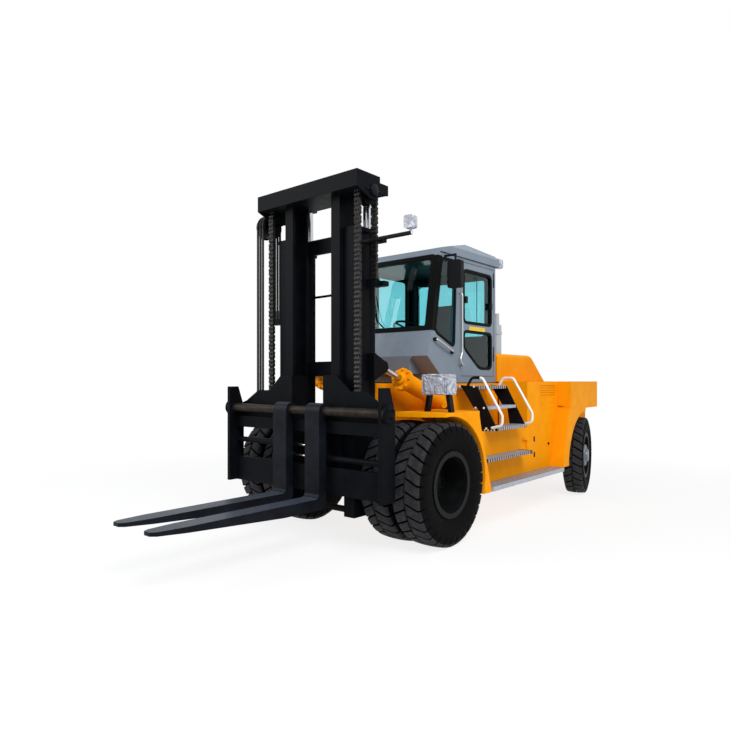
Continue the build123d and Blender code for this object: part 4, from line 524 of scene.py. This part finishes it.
def turned(profile, centre, axis, around=40):  # (radius, along) profile spun about an axis through a centre
    u, v = squareTo(axis)
    angle = np.linspace(0, 2 * np.pi, around, endpoint=False)[:, None, None]
    profile = np.array(profile, float)
    ring = np.cos(angle) * u + np.sin(angle) * v
    points = np.array(centre) + profile[None, :, :1] * ring + profile[None, :, 1:] * np.array(axis, float)
    return points.reshape(-1, 3), [gridFaces(around, len(profile), True, False)]


def ringOf(count, radius, centre, axis, start=0.0):  # places round a circle
    u, v = squareTo(axis)
    angle = start + np.linspace(0, 2 * np.pi, count, endpoint=False)[:, None]
    return np.array(centre) + radius * (np.cos(angle) * u + np.sin(angle) * v)


def joined(parts):  # several shapes as one
    points, faces, count = [], [], 0
    for shape, shapeFaces in parts:
        points.append(shape)
        faces += [block + count for block in shapeFaces]
        count += len(shape)
    return np.concatenate(points), faces


def rectangle(low, high):  # four corners from two
    return [(low[0], low[1]), (high[0], low[1]), (high[0], high[1]), (low[0], high[1])]


def cuboid(low, high):  # a thin plate or small block between two corners
    return prism(np.array(rectangle(low, high)), low[2], high[2])


boltForm = {"washer": 1.45, "washerTop": 0.28, "head": 1.12, "headFoot": 0.2, "shoulder": 0.95, "crown": 0.95,
            "top": 1.15}  # in shares of half the width across the flats


def hexBolts(places, axis, across):  # hexagon heads on washers, all along one axis
    b = {key: share * across / 2 for key, share in boltForm.items()}
    washer = [(tip, 0.0), (b["washer"], 0.0), (b["washer"], b["washerTop"]), (tip, b["washerTop"])]
    head = [(b["head"], b["headFoot"]), (b["head"], b["shoulder"]), (b["crown"], b["top"]), (tip, b["top"])]
    bolt = joined([turned(washer, (0, 0, 0), axis, around=14), turned(head, (0, 0, 0), axis, around=6)])
    return copies(*bolt, np.array(places, float))


def place(name, shape, material, body, smooth=True, sharp=35):  # put a shape on a body, crisp at its edges
    piece = putMesh(name, *shape, material, smooth)
    if smooth:
        piece.modifiers.new("crisp edges", "EDGE_SPLIT").split_angle = math.radians(sharp)
    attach(piece, body)
    return piece


def outward(shape):  # flip a closed shape's faces if its signed volume is negative
    points, faces = shape
    volume = 0.0
    for block in faces:
        p = points[block]
        volume += np.einsum("fk,fjk->", p[:, 0], np.cross(p[:, 1:-1], p[:, 2:]))
    return points, faces if volume > 0 else [block[:, ::-1] for block in faces]


def laid(outline, low, high, toSpace):  # a flat plate following an outline (u, v) on a surface
    points, faces = prism(np.array(outline, float), low, high)
    return outward((toSpace(*points.T), faces))


def beading(outline, width, proud, toSpace, sunk=0.012):
    # a rubber strip along a closed outline (u, v): a rounded section carried round it, square to the outline
    path = np.array(outline)
    along = np.roll(path, -1, 0) - np.roll(path, 1, 0)
    along /= np.linalg.norm(along, axis=1, keepdims=True)
    out = np.stack([along[:, 1], -along[:, 0]], -1)
    foot = -sunk / proud
    section = np.array([(-0.5, foot), (-0.5, 0.7), (-0.3, 1.0), (0.3, 1.0), (0.5, 0.7), (0.5, foot)])
    flat = path[:, None] + section[None, :, :1] * width * out[:, None]
    height = np.broadcast_to(section[None, :, 1] * proud, flat.shape[:2])
    points = toSpace(flat[..., 0], flat[..., 1], height).reshape(-1, 3)
    return points, [gridFaces(len(path), len(section), True, False)]


def fromAxle(points):  # positions measured from the front axle
    return np.array(points, float) + [axleX, 0, 0]


def blocks(name, boxes, material, body, side=1):  # blocks between corners from the axle, side -1 mirrors them
    corners = [fromAxle(box) * [1, side, 1] for box in boxes]
    place(name, joined([cuboid(c.min(0), c.max(0)) for c in corners]), material, body, smooth=False)


# wheels: hubs, nuts and rings

hub = {"frontNuts": 16, "frontNutCircle": 0.262, "frontNutsIn": 0.140, "nutAcross": 0.036,
       "rings": ((0.296, 0.128), (0.300, 0.098)),
       "ringProfile": ((0.006, 0.0), (0.012, 0.004), (0.012, 0.014), (0.0, 0.018)),
       "rearProfile": ((0.24, 0.045), (0.24, 0.072), (0.185, 0.078), (0.165, 0.128), (0.13, 0.140),
                       (0.105, 0.143), (0.098, 0.165), (tip, 0.171)),
       "rearNuts": 12, "rearNutCircle": 0.215, "rearNutsOut": 0.072,
       "capBolts": 8, "capBoltCircle": 0.118, "capBoltsOut": 0.139, "capBoltAcross": 0.02}
for side, word in sides:
    axis = (0, side, 0)
    centre = np.array([axleX, side * wheel["frontY"][0], frontTyre["radius"]])
    nutsAt = ringOf(hub["frontNuts"], hub["frontNutCircle"], centre - [0, side * hub["frontNutsIn"], 0], axis)
    rings = [turned(np.array(hub["ringProfile"]) + ring, centre, axis, around=64) for ring in hub["rings"]]
    nuts = hexBolts(nutsAt, axis, hub["nutAcross"])
    place("front_wheel_nuts_" + word, nuts, chassisPaint, "wheel_front_" + word)
    place("front_lock_rings_" + word, joined(rings), chassisPaint, "wheel_front_" + word)
    centre = np.array([rearX, side * wheel["rearY"], rearTyre["radius"]])
    nutsAt = ringOf(hub["rearNuts"], hub["rearNutCircle"], centre + [0, side * hub["rearNutsOut"], 0], axis)
    capAt = ringOf(hub["capBolts"], hub["capBoltCircle"], centre + [0, side * hub["capBoltsOut"], 0], axis)
    cover = turned(hub["rearProfile"], centre, axis, around=48)
    nuts = hexBolts(nutsAt, axis, hub["nutAcross"])
    points, faces = joined([cover, nuts, hexBolts(capAt, axis, hub["capBoltAcross"])])
    points = spin(points, wheel["steer"], np.array([rearX, side * wheel["kingpinY"], 0]))
    place("rear_hub_" + word, (points, faces), hubPaint, "wheel_rear_" + word)
print("hubs done")


# cab windows: rubber seals round every pane, black pillars beside the screen

windows = {"seal": 0.040, "screenSeal": 0.062, "proud": 0.007, "corner": 0.075, "screenCorner": 0.02,
           "half": 0.750, "rear": -2.200, "sill": (-0.570, 2.440), "brow": (-0.740, 3.450),
           "doorUpper": [(-1.335, 2.600), (-2.075, 2.600), (-2.075, 3.295), (-1.335, 3.295)],
           "doorLower": [(-1.335, 2.260), (-1.740, 1.990), (-2.075, 1.990), (-2.075, 2.480), (-1.335, 2.480)],
           "cornerPane": [(-0.645, 2.440), (-1.090, 2.260), (-1.140, 3.375), (-0.802, 3.375)],
           "sidePane": [(-1.335, 2.220), (-2.075, 2.220), (-2.075, 3.375), (-1.335, 3.375)],
           "rearPane": [(-0.600, 2.450), (0.600, 2.450), (0.600, 3.300), (-0.600, 3.300)],
           "screen": [(-0.675, 2.480), (0.675, 2.480), (0.675, 3.390), (-0.675, 3.390)],
           "pillarSide": [(-0.567, 2.445), (-0.660, 2.445), (-0.815, 3.400), (-0.728, 3.400)],
           "pillarFront": [(0.672, 2.449), (0.753, 2.449), (0.753, 3.405), (0.672, 3.405)],
           "pillarSkin": (-0.001, 0.003)}


def onSide(side):  # from (x, z, height) to a cab wall
    return lambda x, z, h: np.stack([x + axleX, side * (windows["half"] + h), z], -1)


def onScreen(y, z, h):  # from (y, z, height) to the leaning front
    (x0, z0), (x1, z1) = windows["sill"], windows["brow"]
    lean = (x1 - x0) / (z1 - z0)
    size = math.hypot(1, lean)
    return np.stack([axleX + x0 + (z - z0) * lean + h / size, y, z - h * lean / size], -1)


def onBack(y, z, h):  # from (y, z, height) to the cab's rear wall
    return np.stack([axleX + windows["rear"] - h, y, z], -1)


def seal(name, key, toSpace, body, width=windows["seal"], corner=windows["corner"]):
    # a strip along the rounded outline of one pane
    place(name, beading(rounded(windows[key], corner), width, windows["proud"], toSpace), blackRubber, body)


seal("door_seal_upper", "doorUpper", onSide(1), "door")
seal("door_seal_lower", "doorLower", onSide(1), "door")
seal("corner_seal_left", "cornerPane", onSide(1), "chassis")
seal("corner_seal_right", "cornerPane", onSide(-1), "chassis")
seal("side_seal", "sidePane", onSide(-1), "chassis")
seal("rear_seal", "rearPane", onBack, "chassis")
seal("screen_seal", "screen", onScreen, "chassis", windows["screenSeal"], windows["screenCorner"])
for side, word in sides:
    front = np.array(windows["pillarFront"]) * [side, 1]
    pillar = joined([laid(windows["pillarSide"], *windows["pillarSkin"], onSide(side)),
                     laid(front, *windows["pillarSkin"], onScreen)])
    place("pillar_black_" + word, pillar, blackRubber, "chassis", smooth=False)
print("seals done")


# hydraulic hoses at the right of the mast

hose = {"radius": 0.0145, "pitch": 0.048, "lanes": 3, "ferrule": 0.020, "ferruleLong": 0.09, "around": 14,
        "runSteps": 40, "bendSteps": 31, "holdLow": 0.1, "holdTop": 0.02}
hoseX, hoseMid = middle("hoses_front")[:2]
hoseTop = span("hoses_front")[1][2]
bend = np.linspace(0, np.pi, hose["bendSteps"])
for lane in range(hose["lanes"]):
    y = hoseMid + (lane - 1) * hose["pitch"]
    for run, x, body in (("front", hoseX, "carriage"), ("back", 2 * sheaveX - hoseX, "mast_outer")):
        low = span("hoses_" + run)[0][2]
        z = np.linspace(low, hoseTop, hose["runSteps"])
        line = np.c_[np.full(len(z), x), np.full(len(z), y), z]
        thick = np.where(z < low + hose["ferruleLong"], hose["ferrule"], hose["radius"])
        piece = putMesh("hose_" + run + str(lane + 1), *tube(line, thick, hose["around"]), hoseRubber)
        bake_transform(piece)
        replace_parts(piece, "hoses_" + run)
    reach = hoseX - sheaveX
    arc = np.c_[sheaveX + reach * np.cos(bend), np.full(len(bend), y), hoseTop + reach * np.sin(bend)]
    loop = tube(arc, hose["radius"], hose["around"])
    piece = place("hose_bend" + str(lane + 1), loop, hoseRubber, "mast_inner")
    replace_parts(piece, "hose_bends")
print("hoses done")


# second finishes on CAD pieces

def paintWhere(node, test, material):  # faces whose centres and normals pass a test get another finish
    mesh = nodes[node].data
    centres, normals = np.empty(len(mesh.polygons) * 3), np.empty(len(mesh.polygons) * 3)
    mesh.polygons.foreach_get("center", centres)
    mesh.polygons.foreach_get("normal", normals)
    chosen = test(centres.reshape(-1, 3), normals.reshape(-1, 3))
    mesh.materials.append(material)
    mesh.polygons.foreach_set("material_index", np.where(chosen, len(mesh.materials) - 1, 0).astype(np.int32))


second = {"cabMiddle": (-1.45, 0.0, 2.75), "towards": 0.02, "standTop": 1.682, "armEnd": 1.234,
          "railX": -1.100, "railY": 1.150}
cabMiddle = fromAxle(second["cabMiddle"])
for node in ("cab_body", "cab_roof", "door"):  # black on faces that look to the cab's middle: a dark lining, and painted shade inside the cab
    paintWhere(node, lambda c, n: ((cabMiddle - c) * n).sum(1) > second["towards"], trimPlastic)
paintWhere("headlamps", lambda c, n: c[:, 2] < second["standTop"], chassisPaint)
paintWhere("mast_lamp", lambda c, n: c[:, 1] < second["armEnd"], chassisPaint)
paintWhere("handrails", lambda c, n: (c[:, 0] > axleX + second["railX"]) & (c[:, 1] < second["railY"]),
           chassisPaint)


# packing film on the head lamps

film = {"box": ((-0.180, 1.035, 1.680), (0.020, 1.335, 1.878)), "loose": 0.012, "crease": 0.007,
        "square": 0.22, "flatten": 0.6, "grid": (60, 120)}


def ballGrid(rows, columns):  # latitude, longitude and direction cosines over a ball
    lat, lon = np.meshgrid(np.linspace(-np.pi / 2, np.pi / 2, rows),
                           np.linspace(0, 2 * np.pi, columns, endpoint=False), indexing="ij")
    return lat, lon, np.stack([np.cos(lat) * np.cos(lon), np.cos(lat) * np.sin(lon), np.sin(lat)], -1)


def squared(ball, power, flatten):  # a ball whose direction cosines are raised to a small power squares up
    shaped = np.sign(ball) * np.abs(ball) ** power
    return shaped / np.abs(shaped).max(-1, keepdims=True) ** flatten


def filmSurface():
    # film round a box: a squared ball a little larger than the lamp, creased by crossed waves
    f = film
    low, high = fromAxle(f["box"])
    lat, lon, ball = ballGrid(*f["grid"])
    crease = np.sin(9 * lon + 4 * np.sin(3 * lat)) * np.sin(7 * lat + 2 * np.sin(5 * lon))
    crease += 0.5 * np.sin(23 * lon + 11 * lat)
    half = (high - low) / 2 + f["loose"]
    points = (low + high) / 2 + squared(ball, f["square"], f["flatten"]) * half
    points += ball * (f["crease"] * crease)[..., None]
    return points.reshape(-1, 3), [gridFaces(*f["grid"], False, True)]


filmPoints, filmFaces = filmSurface()
for side, word in sides:
    shape = (filmPoints * [1, side, 1], [block[:, ::side] for block in filmFaces])
    place("lamp_film_" + word, shape, lampFilm, "chassis", sharp=60)
print("lamps done")


# cab trim

grab = {"path": [(-0.627, 0.752, 2.336), (-0.640, 0.796, 2.332), (-1.010, 0.796, 2.194),
                 (-1.024, 0.752, 2.189)],
        "radius": 0.013, "bend": 0.03, "sunk": 0.0015,
        "foot": [(0.024, 0.0), (0.024, 0.030), (0.018, 0.040), (tip, 0.040)]}
handle = {"path": [(-1.215, 0.752, 2.980), (-1.215, 0.800, 2.960), (-1.215, 0.800, 2.190),
                   (-1.160, 0.800, 2.090), (-1.230, 0.800, 2.020), (-1.240, 0.752, 2.020)],
          "radius": 0.012, "bend": 0.04}
doorTrim = {"split": ((-1.676, 0.7505, 2.600), (-1.664, 0.7545, 3.300)),
            "plate": ((-1.890, 0.7505, 2.497), (-1.475, 0.7545, 2.553)),
            "latches": ((-1.372, 2.90), (-2.045, 2.87)), "latchHalf": (0.022, 0.045),
            "latchY": (0.7505, 0.778)}
cabBed = ((-2.190, -0.742, 1.7855), (-0.870, 0.742, 1.7945))
wiper = {"arm": [(0.02, 2.500, 0.03), (-0.12, 2.62, 0.045), (-0.26, 2.98, 0.03)], "armRadius": 0.009,
         "blade": [(-0.17, 2.60, 0.012), (-0.36, 3.28, 0.012)], "bladeRadius": 0.007,
         "bladeSteps": 8, "bend": 0.06}
mirrorGlass = ((-0.9065, 0.826, 3.010), (-0.9045, 0.994, 3.310))
for side, word in sides:
    bow = np.array(grab["path"]) * [1, side, 1]
    bar = tube(fromAxle(softPath(bow, grab["bend"])), grab["radius"])
    place("cab_grab_" + word, bar, brightBolt, "chassis")
    feet = [turned(grab["foot"], fromAxle(end) - [0, side * grab["sunk"], 0], (0, side, 0), around=16)
            for end in bow[[0, -1]]]
    place("cab_grab_feet_" + word, joined(feet), trimPlastic, "chassis")
bar = tube(fromAxle(softPath(handle["path"], handle["bend"])), handle["radius"])
place("door_handle", bar, brightBolt, "chassis")
blocks("door_split", [doorTrim["split"]], blackRubber, "door")
(dx, dz), (y0, y1) = doorTrim["latchHalf"], doorTrim["latchY"]
latches = [((x - dx, y0, z - dz), (x + dx, y1, z + dz)) for x, z in doorTrim["latches"]]
blocks("door_latches", latches, trimPlastic, "door")
blocks("cab_bed", [cabBed], blackRubber, "chassis")
blocks("blank_plate", [doorTrim["plate"]], yellowPlate, "door")
arm = softPath(onScreen(*np.array(wiper["arm"]).T), wiper["bend"])
blade = np.linspace(*onScreen(*np.array(wiper["blade"]).T), wiper["bladeSteps"])
wiperShape = joined([tube(arm, wiper["armRadius"]), tube(blade, wiper["bladeRadius"])])
place("wiper", wiperShape, trimPlastic, "chassis")
for side, word in sides:
    blocks("mirror_glass_" + word, [mirrorGlass], mirrorSilver, "chassis", side)
print("cab trim done")


# driver's seat: a bellows base under two pads

bellow = {"x": (-1.890, -1.490), "halfY": 0.180, "z": (1.845, 2.150), "folds": 6, "foldSteps": 8,
          "depth": 0.06, "corner": 0.05}
pads = {"cushion": {"centre": (-1.690, 0.0, 2.206), "half": (0.258, 0.258, 0.058), "lean": 0.0,
                    "crown": 0.016},
        "back": {"centre": (-1.968, 0.0, 2.600), "half": (0.340, 0.248, 0.052), "lean": 101.8,
                 "crown": 0.014}}
padForm = {"square": 0.30, "flatten": 0.75, "pull": 0.030, "channel": 0.010, "channelWide": 0.012,
           "channels": (-0.12, 0.12), "grid": (48, 96)}


def bellows():
    # a rounded rectangle carried upwards, drawn in and out by a cosine as folded rubber is
    b = bellow
    (x0, x1), (z0, z1) = b["x"], b["z"]
    ring = rounded(rectangle((x0, -b["halfY"]), (x1, b["halfY"])), b["corner"])
    t = np.linspace(0, 1, b["foldSteps"] * b["folds"] + 1)
    size = 1 - b["depth"] * (1 - np.cos(2 * np.pi * b["folds"] * t)) / 2
    centre = np.array([(x0 + x1) / 2, 0.0])
    flat = centre + (ring - centre)[None] * size[:, None, None]
    height = np.broadcast_to((z0 + (z1 - z0) * t)[:, None, None], (*flat.shape[:2], 1))
    k = np.arange(len(ring))
    faces = [gridFaces(len(t), len(ring), False, True), k[None], (k + (len(t) - 1) * len(ring))[::-1][None]]
    return outward((fromAxle(np.concatenate([flat, height], -1).reshape(-1, 3)), faces))


def pad(p):
    # a squared ball: its sides are drawn in between the corners, its face is crowned by a product of two
    # parabolas, and sewn channels are pressed in as narrow bells across it
    f = padForm
    ball = ballGrid(*f["grid"])[2]
    x, y, z = np.moveaxis(squared(ball, f["square"], f["flatten"]), -1, 0)
    face = (1 - np.clip(x, -1, 1) ** 2) * (1 - np.clip(y, -1, 1) ** 2)
    x, y = x * (1 - f["pull"] * (1 - y ** 2)), y * (1 - f["pull"] * (1 - x ** 2))
    groove = sum(np.exp(-((y * p["half"][1] - at) / f["channelWide"]) ** 2) for at in f["channels"])
    u, v = x * p["half"][0], y * p["half"][1]
    w = z * p["half"][2] + np.sign(z) * face * (p["crown"] - groove * f["channel"])
    c, s = math.cos(math.radians(p["lean"])), math.sin(math.radians(p["lean"]))
    points = np.stack([c * u - s * w, v, s * u + c * w], -1) + p["centre"]
    return outward((fromAxle(points.reshape(-1, 3)), [gridFaces(*f["grid"], False, True)]))


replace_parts(place("seat_bellows", bellows(), blackRubber, "chassis", sharp=60), "seat")
for key, form in pads.items():
    piece = place("seat_" + key, pad(form), seatCloth, "chassis", sharp=80)
    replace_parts(piece, "seat")
print("seat done")


# bolts on the ladder, the tilt cylinders and the mast

ladder = {"x": (("_rear", -1.880, -1), ("_front", -1.080, 1)), "in": 0.045, "across": 0.020,
          "footAcross": 0.014, "treads": ((1.18, 1.38, 1.225), (1.03, 1.237, 1.478), (0.80, 1.095, 1.745)),
          "feet": [(-1.080, y, 1.205) for y in (1.205, 1.250, 1.295, 1.340)]}
for word, x, way in ladder["x"]:
    spots = [(x, y, z) for a, b, z in ladder["treads"] for y in (a + ladder["in"], b - ladder["in"])]
    heads = hexBolts(fromAxle(spots), (way, 0, 0), ladder["across"])
    place("ladder_bolts" + word, heads, railPaint, "chassis")
heads = hexBolts(fromAxle(ladder["feet"]), (1, 0, 0), ladder["footAcross"])
place("ladder_foot_bolts", heads, railPaint, "chassis")

gland = {"pin": (-0.957, 1.550), "eye": (0.316, 1.977), "back": 0.420, "y": 0.650, "bolts": 8,
         "circle": 0.118, "across": 0.03,
         "neck": [(0.072, 0.0), (0.072, 0.03), (0.058, 0.042), (0.040, 0.045)]}
sheavePin = {"at": (0.610, 0.812, 3.880), "bolts": 2, "circle": 0.105, "sunk": 0.012, "across": 0.026,
             "cap": [(0.070, -0.012), (0.070, 0.010), (0.060, 0.016), (tip, 0.016)]}
shaftEnd = {"at": (0.925, 1.252, 1.490), "bolts": 4, "circle": 0.055, "start": 0.6, "proud": 0.013,
            "across": 0.026, "disc": [(0.095, -0.004), (0.095, 0.010), (0.088, 0.014), (tip, 0.014)]}
run = np.array(gland["eye"]) - np.array(gland["pin"])
lean = run / np.linalg.norm(run)
glandX, glandZ = np.array(gland["eye"]) - lean * gland["back"]
for side, word in sides:
    centre = fromAxle((glandX, side * gland["y"], glandZ))
    axis = (lean[0], 0, lean[1])
    heads = hexBolts(ringOf(gland["bolts"], gland["circle"], centre, axis), axis, gland["across"])
    neck = turned(gland["neck"], centre, axis, around=32)
    place("gland_bolts_" + word, joined([heads, neck]), orangePaint, "tilt_barrel_" + word)
    axis = (0, side, 0)
    if side > 0:  # only at the left end
        centre = fromAxle(sheavePin["at"])
        spots = ringOf(sheavePin["bolts"], sheavePin["circle"], centre - [0, sheavePin["sunk"], 0], axis)
        cap = turned(sheavePin["cap"], centre, axis, around=6)
        heads = hexBolts(spots, axis, sheavePin["across"])
        # the fork finish gives the cap's upper faces a painted blue grey sheen
        place("sheave_pin_cap_" + word, joined([cap, heads]), forkPaint, "mast_inner")
    centre = fromAxle(shaftEnd["at"]) * [1, side, 1]
    spots = ringOf(shaftEnd["bolts"], shaftEnd["circle"], centre + [0, side * shaftEnd["proud"], 0], axis,
                   shaftEnd["start"])
    disc = joined([turned(shaftEnd["disc"], centre, axis), hexBolts(spots, axis, shaftEnd["across"])])
    place("shaft_cap_bolts_" + word, disc, mastPaint, "carriage")


# pipe, brackets and plates on the mast, end caps on the middle treads, a lamp at the roof's rear edge

pipe = {"in": 0.080, "bendY": 0.25, "z": (2.850, 2.860), "radius": 0.015, "bend": 0.05, "barrelRadius": 0.085}
liftX, liftY = middle("lift_barrels")[0], span("lift_barrels")[1][1] - pipe["barrelRadius"]
end, bendY = liftY - pipe["in"], pipe["bendY"]
low, high = pipe["z"]
cross = [(liftX, -end, low), (liftX, -bendY, low), (liftX, bendY, high), (liftX, end, high)]
place("lift_crossover_pipe", tube(softPath(cross, pipe["bend"]), pipe["radius"]), mastPaint, "mast_outer")
mastSide = {"brackets": [((0.350, 0.598, 3.362), (0.425, 0.775, 3.418)),
                         ((0.345, 0.640, 2.872), (0.437, 0.800, 2.928))],
            "wing": [((0.355, 0.776, 3.875), (0.505, 0.799, 3.985)),
                     ((0.355, 0.720, 3.880), (0.372, 0.790, 3.980))]}
blocks("mast_side_brackets", mastSide["brackets"], mastPaint, "mast_outer")
blocks("crosshead_wing", mastSide["wing"], mastPaint, "mast_inner")
endCap = {"x": (-2.033, -0.810), "long": 0.018, "y": (1.199, 1.395), "z": (0.836, 0.884)}
(y0, y1), (z0, z1) = endCap["y"], endCap["z"]
caps = [cuboid(*fromAxle([(x, y0, z0), (x + endCap["long"], y1, z1)])) for x in endCap["x"]]
caps += [outward((points * [1, -1, 1], faces)) for points, faces in caps]
place("tread_end_caps", joined(caps), blackRubber, "chassis", smooth=False)
roofLamp = {"x": (-2.390, -2.279), "low": (0.660, 3.455), "high": (0.775, 3.590), "corner": 0.03}
outline = rounded(rectangle(roofLamp["low"], roofLamp["high"]), roofLamp["corner"])
housing, faces = prism(outline, *roofLamp["x"])
place("roof_lamp", outward((fromAxle(housing[:, [2, 0, 1]]), faces)), lampFilm, "chassis")
print("bolts done")


# tank and rear fittings

tank = {"top": 1.190, "side": 1.200, "fillers": ((-2.42, 1.02), (-2.66, 1.02)),
        "filler": [(0.075, 0.0), (0.075, 0.018), (0.062, 0.022), (0.062, 0.05), (0.05, 0.06), (tip, 0.062)],
        "slots": ((-2.510, 0.988), (-2.516, 0.766)), "slotHalf": (0.022, 0.038), "slotCorner": 0.012,
        "slotSkin": (-0.001, 0.0015), "stud": (-2.99, 0.887), "studAcross": 0.028,
        "bracket": [(-2.245, 0.890), (-2.225, 0.890), (-2.225, 1.000), (-2.130, 1.000), (-2.130, 1.020),
                    (-2.245, 1.020)], "bracketSkin": (-0.001, 0.030),
        "paintedShade": ((-2.270, 0.775), (-1.895, 1.190)), "paintedShadeSkin": (-0.001, 0.004)}
tail = {"taper": ((-4.650, 1.335), (-5.200, 1.100)), "z": (1.560, 1.730), "corner": 0.02,
        "skin": (-0.001, 0.015), "lenses": (("brake", redLens, 0.40, 0.49), ("turn", amberLens, 0.50, 0.57))}
fillers = [turned(tank["filler"], fromAxle((x, side * y, tank["top"])), (0, 0, 1), around=28)
           for x, y in tank["fillers"] for side, word in sides]
place("tank_fillers", joined(fillers), trimPlastic, "chassis")


def onTank(side):  # from (x, z, height) to a tank's outer face
    return lambda x, z, h: np.stack([x + axleX, side * (tank["side"] + h), z], -1)


def onTaper(side):  # from (along, z, height) to a rear corner face of the counterweight
    first, last = np.array(tail["taper"])
    run = (last - first) / np.linalg.norm(last - first)
    return lambda u, z, h: np.stack([axleX + first[0] + u * run[0] + h * run[1],
                                     side * (first[1] + u * run[1] - h * run[0]), z], -1)


for side, word in sides:
    middles, half = np.array(tank["slots"]), np.array(tank["slotHalf"])
    outlines = [rounded(rectangle(at - half, at + half), tank["slotCorner"]) for at in middles]
    slots = joined([laid(outline, *tank["slotSkin"], onTank(side)) for outline in outlines])
    place("tank_slots_" + word, slots, blackRubber, "chassis", smooth=False)
    bracket = laid(tank["bracket"], *tank["bracketSkin"], onTank(side))
    place("tank_bracket_" + word, bracket, orangePaint, "chassis", smooth=False)
    stud = fromAxle([(tank["stud"][0], side * tank["side"], tank["stud"][1])])
    place("tank_studs_" + word, hexBolts(stud, (0, side, 0), tank["studAcross"]), chassisPaint, "chassis")
    # a black strip on each tank top is painted shade, for the dark gap behind the ladder
    paintedShade = np.c_[tank["paintedShade"], tank["top"] + np.array(tank["paintedShadeSkin"])]
    blocks("tank_painted_shade_" + word, [paintedShade], blackRubber, "chassis", side)
    for kind, material, u0, u1 in tail["lenses"]:
        outline = rounded(rectangle((u0, tail["z"][0]), (u1, tail["z"][1])), tail["corner"])
        lens = laid(outline, *tail["skin"], onTaper(side))
        place("tail_lamp_" + kind + "_" + word, lens, material, "chassis", smooth=False)
print("fittings done")


# floor, light and camera

studio = {"floorHalf": 45.0, "floorZ": -0.002, "floor": "#F4F4F2", "floorWhite": 0.82, "fade": (4.2, 9.0),
          "sky": "#EEF3FA", "worldLight": 0.55}
white = (1.0, 1.0, 1.0, 1.0)

floorMaterial, tree, coords = newMaterial("pale studio floor")
floorDiffuse = addNode(tree, "ShaderNodeBsdfDiffuse", {"Color": linear(studio["floor"])})
floorGlow = addNode(tree, "ShaderNodeEmission", {"Color": white, "Strength": 1.0})
floorMix = addNode(tree, "ShaderNodeMixShader", {"Fac": studio["floorWhite"], 1: floorDiffuse, 2: floorGlow})
away = addNode(tree, "ShaderNodeVectorMath", {0: coords}, operation="LENGTH")
fadeOut = addNode(tree, "ShaderNodeMapRange", {
    "Value": away.outputs["Value"], "From Min": studio["fade"][0], "From Max": studio["fade"][1]},
    interpolation_type="SMOOTHSTEP")
nothing = addNode(tree, "ShaderNodeBsdfTransparent")
floorFade = addNode(tree, "ShaderNodeMixShader", {"Fac": fadeOut, 1: floorMix, 2: nothing})
addNode(tree, "ShaderNodeOutputMaterial", {"Surface": floorFade})
half = studio["floorHalf"]
floorPoints = np.c_[rectangle((-half, -half), (half, half)), np.full(4, studio["floorZ"])]
putMesh("studio_floor", floorPoints, [np.arange(4)[None]], floorMaterial)

world = bpy.data.worlds.new("soft studio")
bpy.context.scene.world = world
world.use_nodes = True
tree = world.node_tree
tree.nodes.clear()
rays = addNode(tree, "ShaderNodeLightPath").outputs  # white wherever the background itself is seen
seen = addNode(tree, "ShaderNodeMath", {0: rays["Is Camera Ray"], 1: rays["Is Transmission Ray"]},
               operation="MAXIMUM")
seen = addNode(tree, "ShaderNodeMath", {0: seen, 1: rays["Is Glossy Ray"]}, operation="MAXIMUM")
glow = addNode(tree, "ShaderNodeBackground", {
    "Color": linear(studio["sky"]), "Strength": studio["worldLight"]})
backdrop = addNode(tree, "ShaderNodeBackground", {"Color": white, "Strength": 1.0})
both = addNode(tree, "ShaderNodeMixShader", {"Fac": seen, 1: glow, 2: backdrop})
addNode(tree, "ShaderNodeOutputWorld", {"Surface": both})


def lookAlong(holder, origin, direction):  # place a lamp or camera and turn it to look along a direction
    holder.location = origin
    holder.rotation_mode = "QUATERNION"
    holder.rotation_quaternion = Vector(direction).to_track_quat("-Z", "Y")
    bpy.context.scene.collection.objects.link(holder)


lights = {"key light": {"at": (6.0, 9.0, 11.0), "aim": (0, 0, 1), "size": 7.0, "watts": 1550.0},
          "fill light": {"at": (9.0, -6.0, 6.0), "aim": (0, 0, 1.5), "size": 6.0, "watts": 500.0}}
for name, setting in lights.items():
    light = bpy.data.lights.new(name, "AREA")
    light.size = setting["size"]
    light.energy = setting["watts"]
    holder = bpy.data.objects.new(name, light)
    lookAlong(holder, setting["at"], Vector(setting["aim"]) - Vector(setting["at"]))

photo = {"focalPx": 609.0, "widthPx": 730.0, "horizonPx": 380.0, "sensor": 36.0,
         "place": (6.8065, 4.984, 1.83), "look": (-0.7627, -0.6468, 0.0)}
cameraData = bpy.data.cameras.new("photo camera")
cameraData.sensor_width = photo["sensor"]
cameraData.lens = photo["focalPx"] / photo["widthPx"] * photo["sensor"]
cameraData.shift_y = (photo["horizonPx"] - photo["widthPx"] / 2) / photo["widthPx"]
camera = bpy.data.objects.new("photo camera", cameraData)
lookAlong(camera, photo["place"], photo["look"])
bpy.context.scene.camera = camera
bpy.context.scene.view_settings.view_transform = "Standard"
print("studio done")
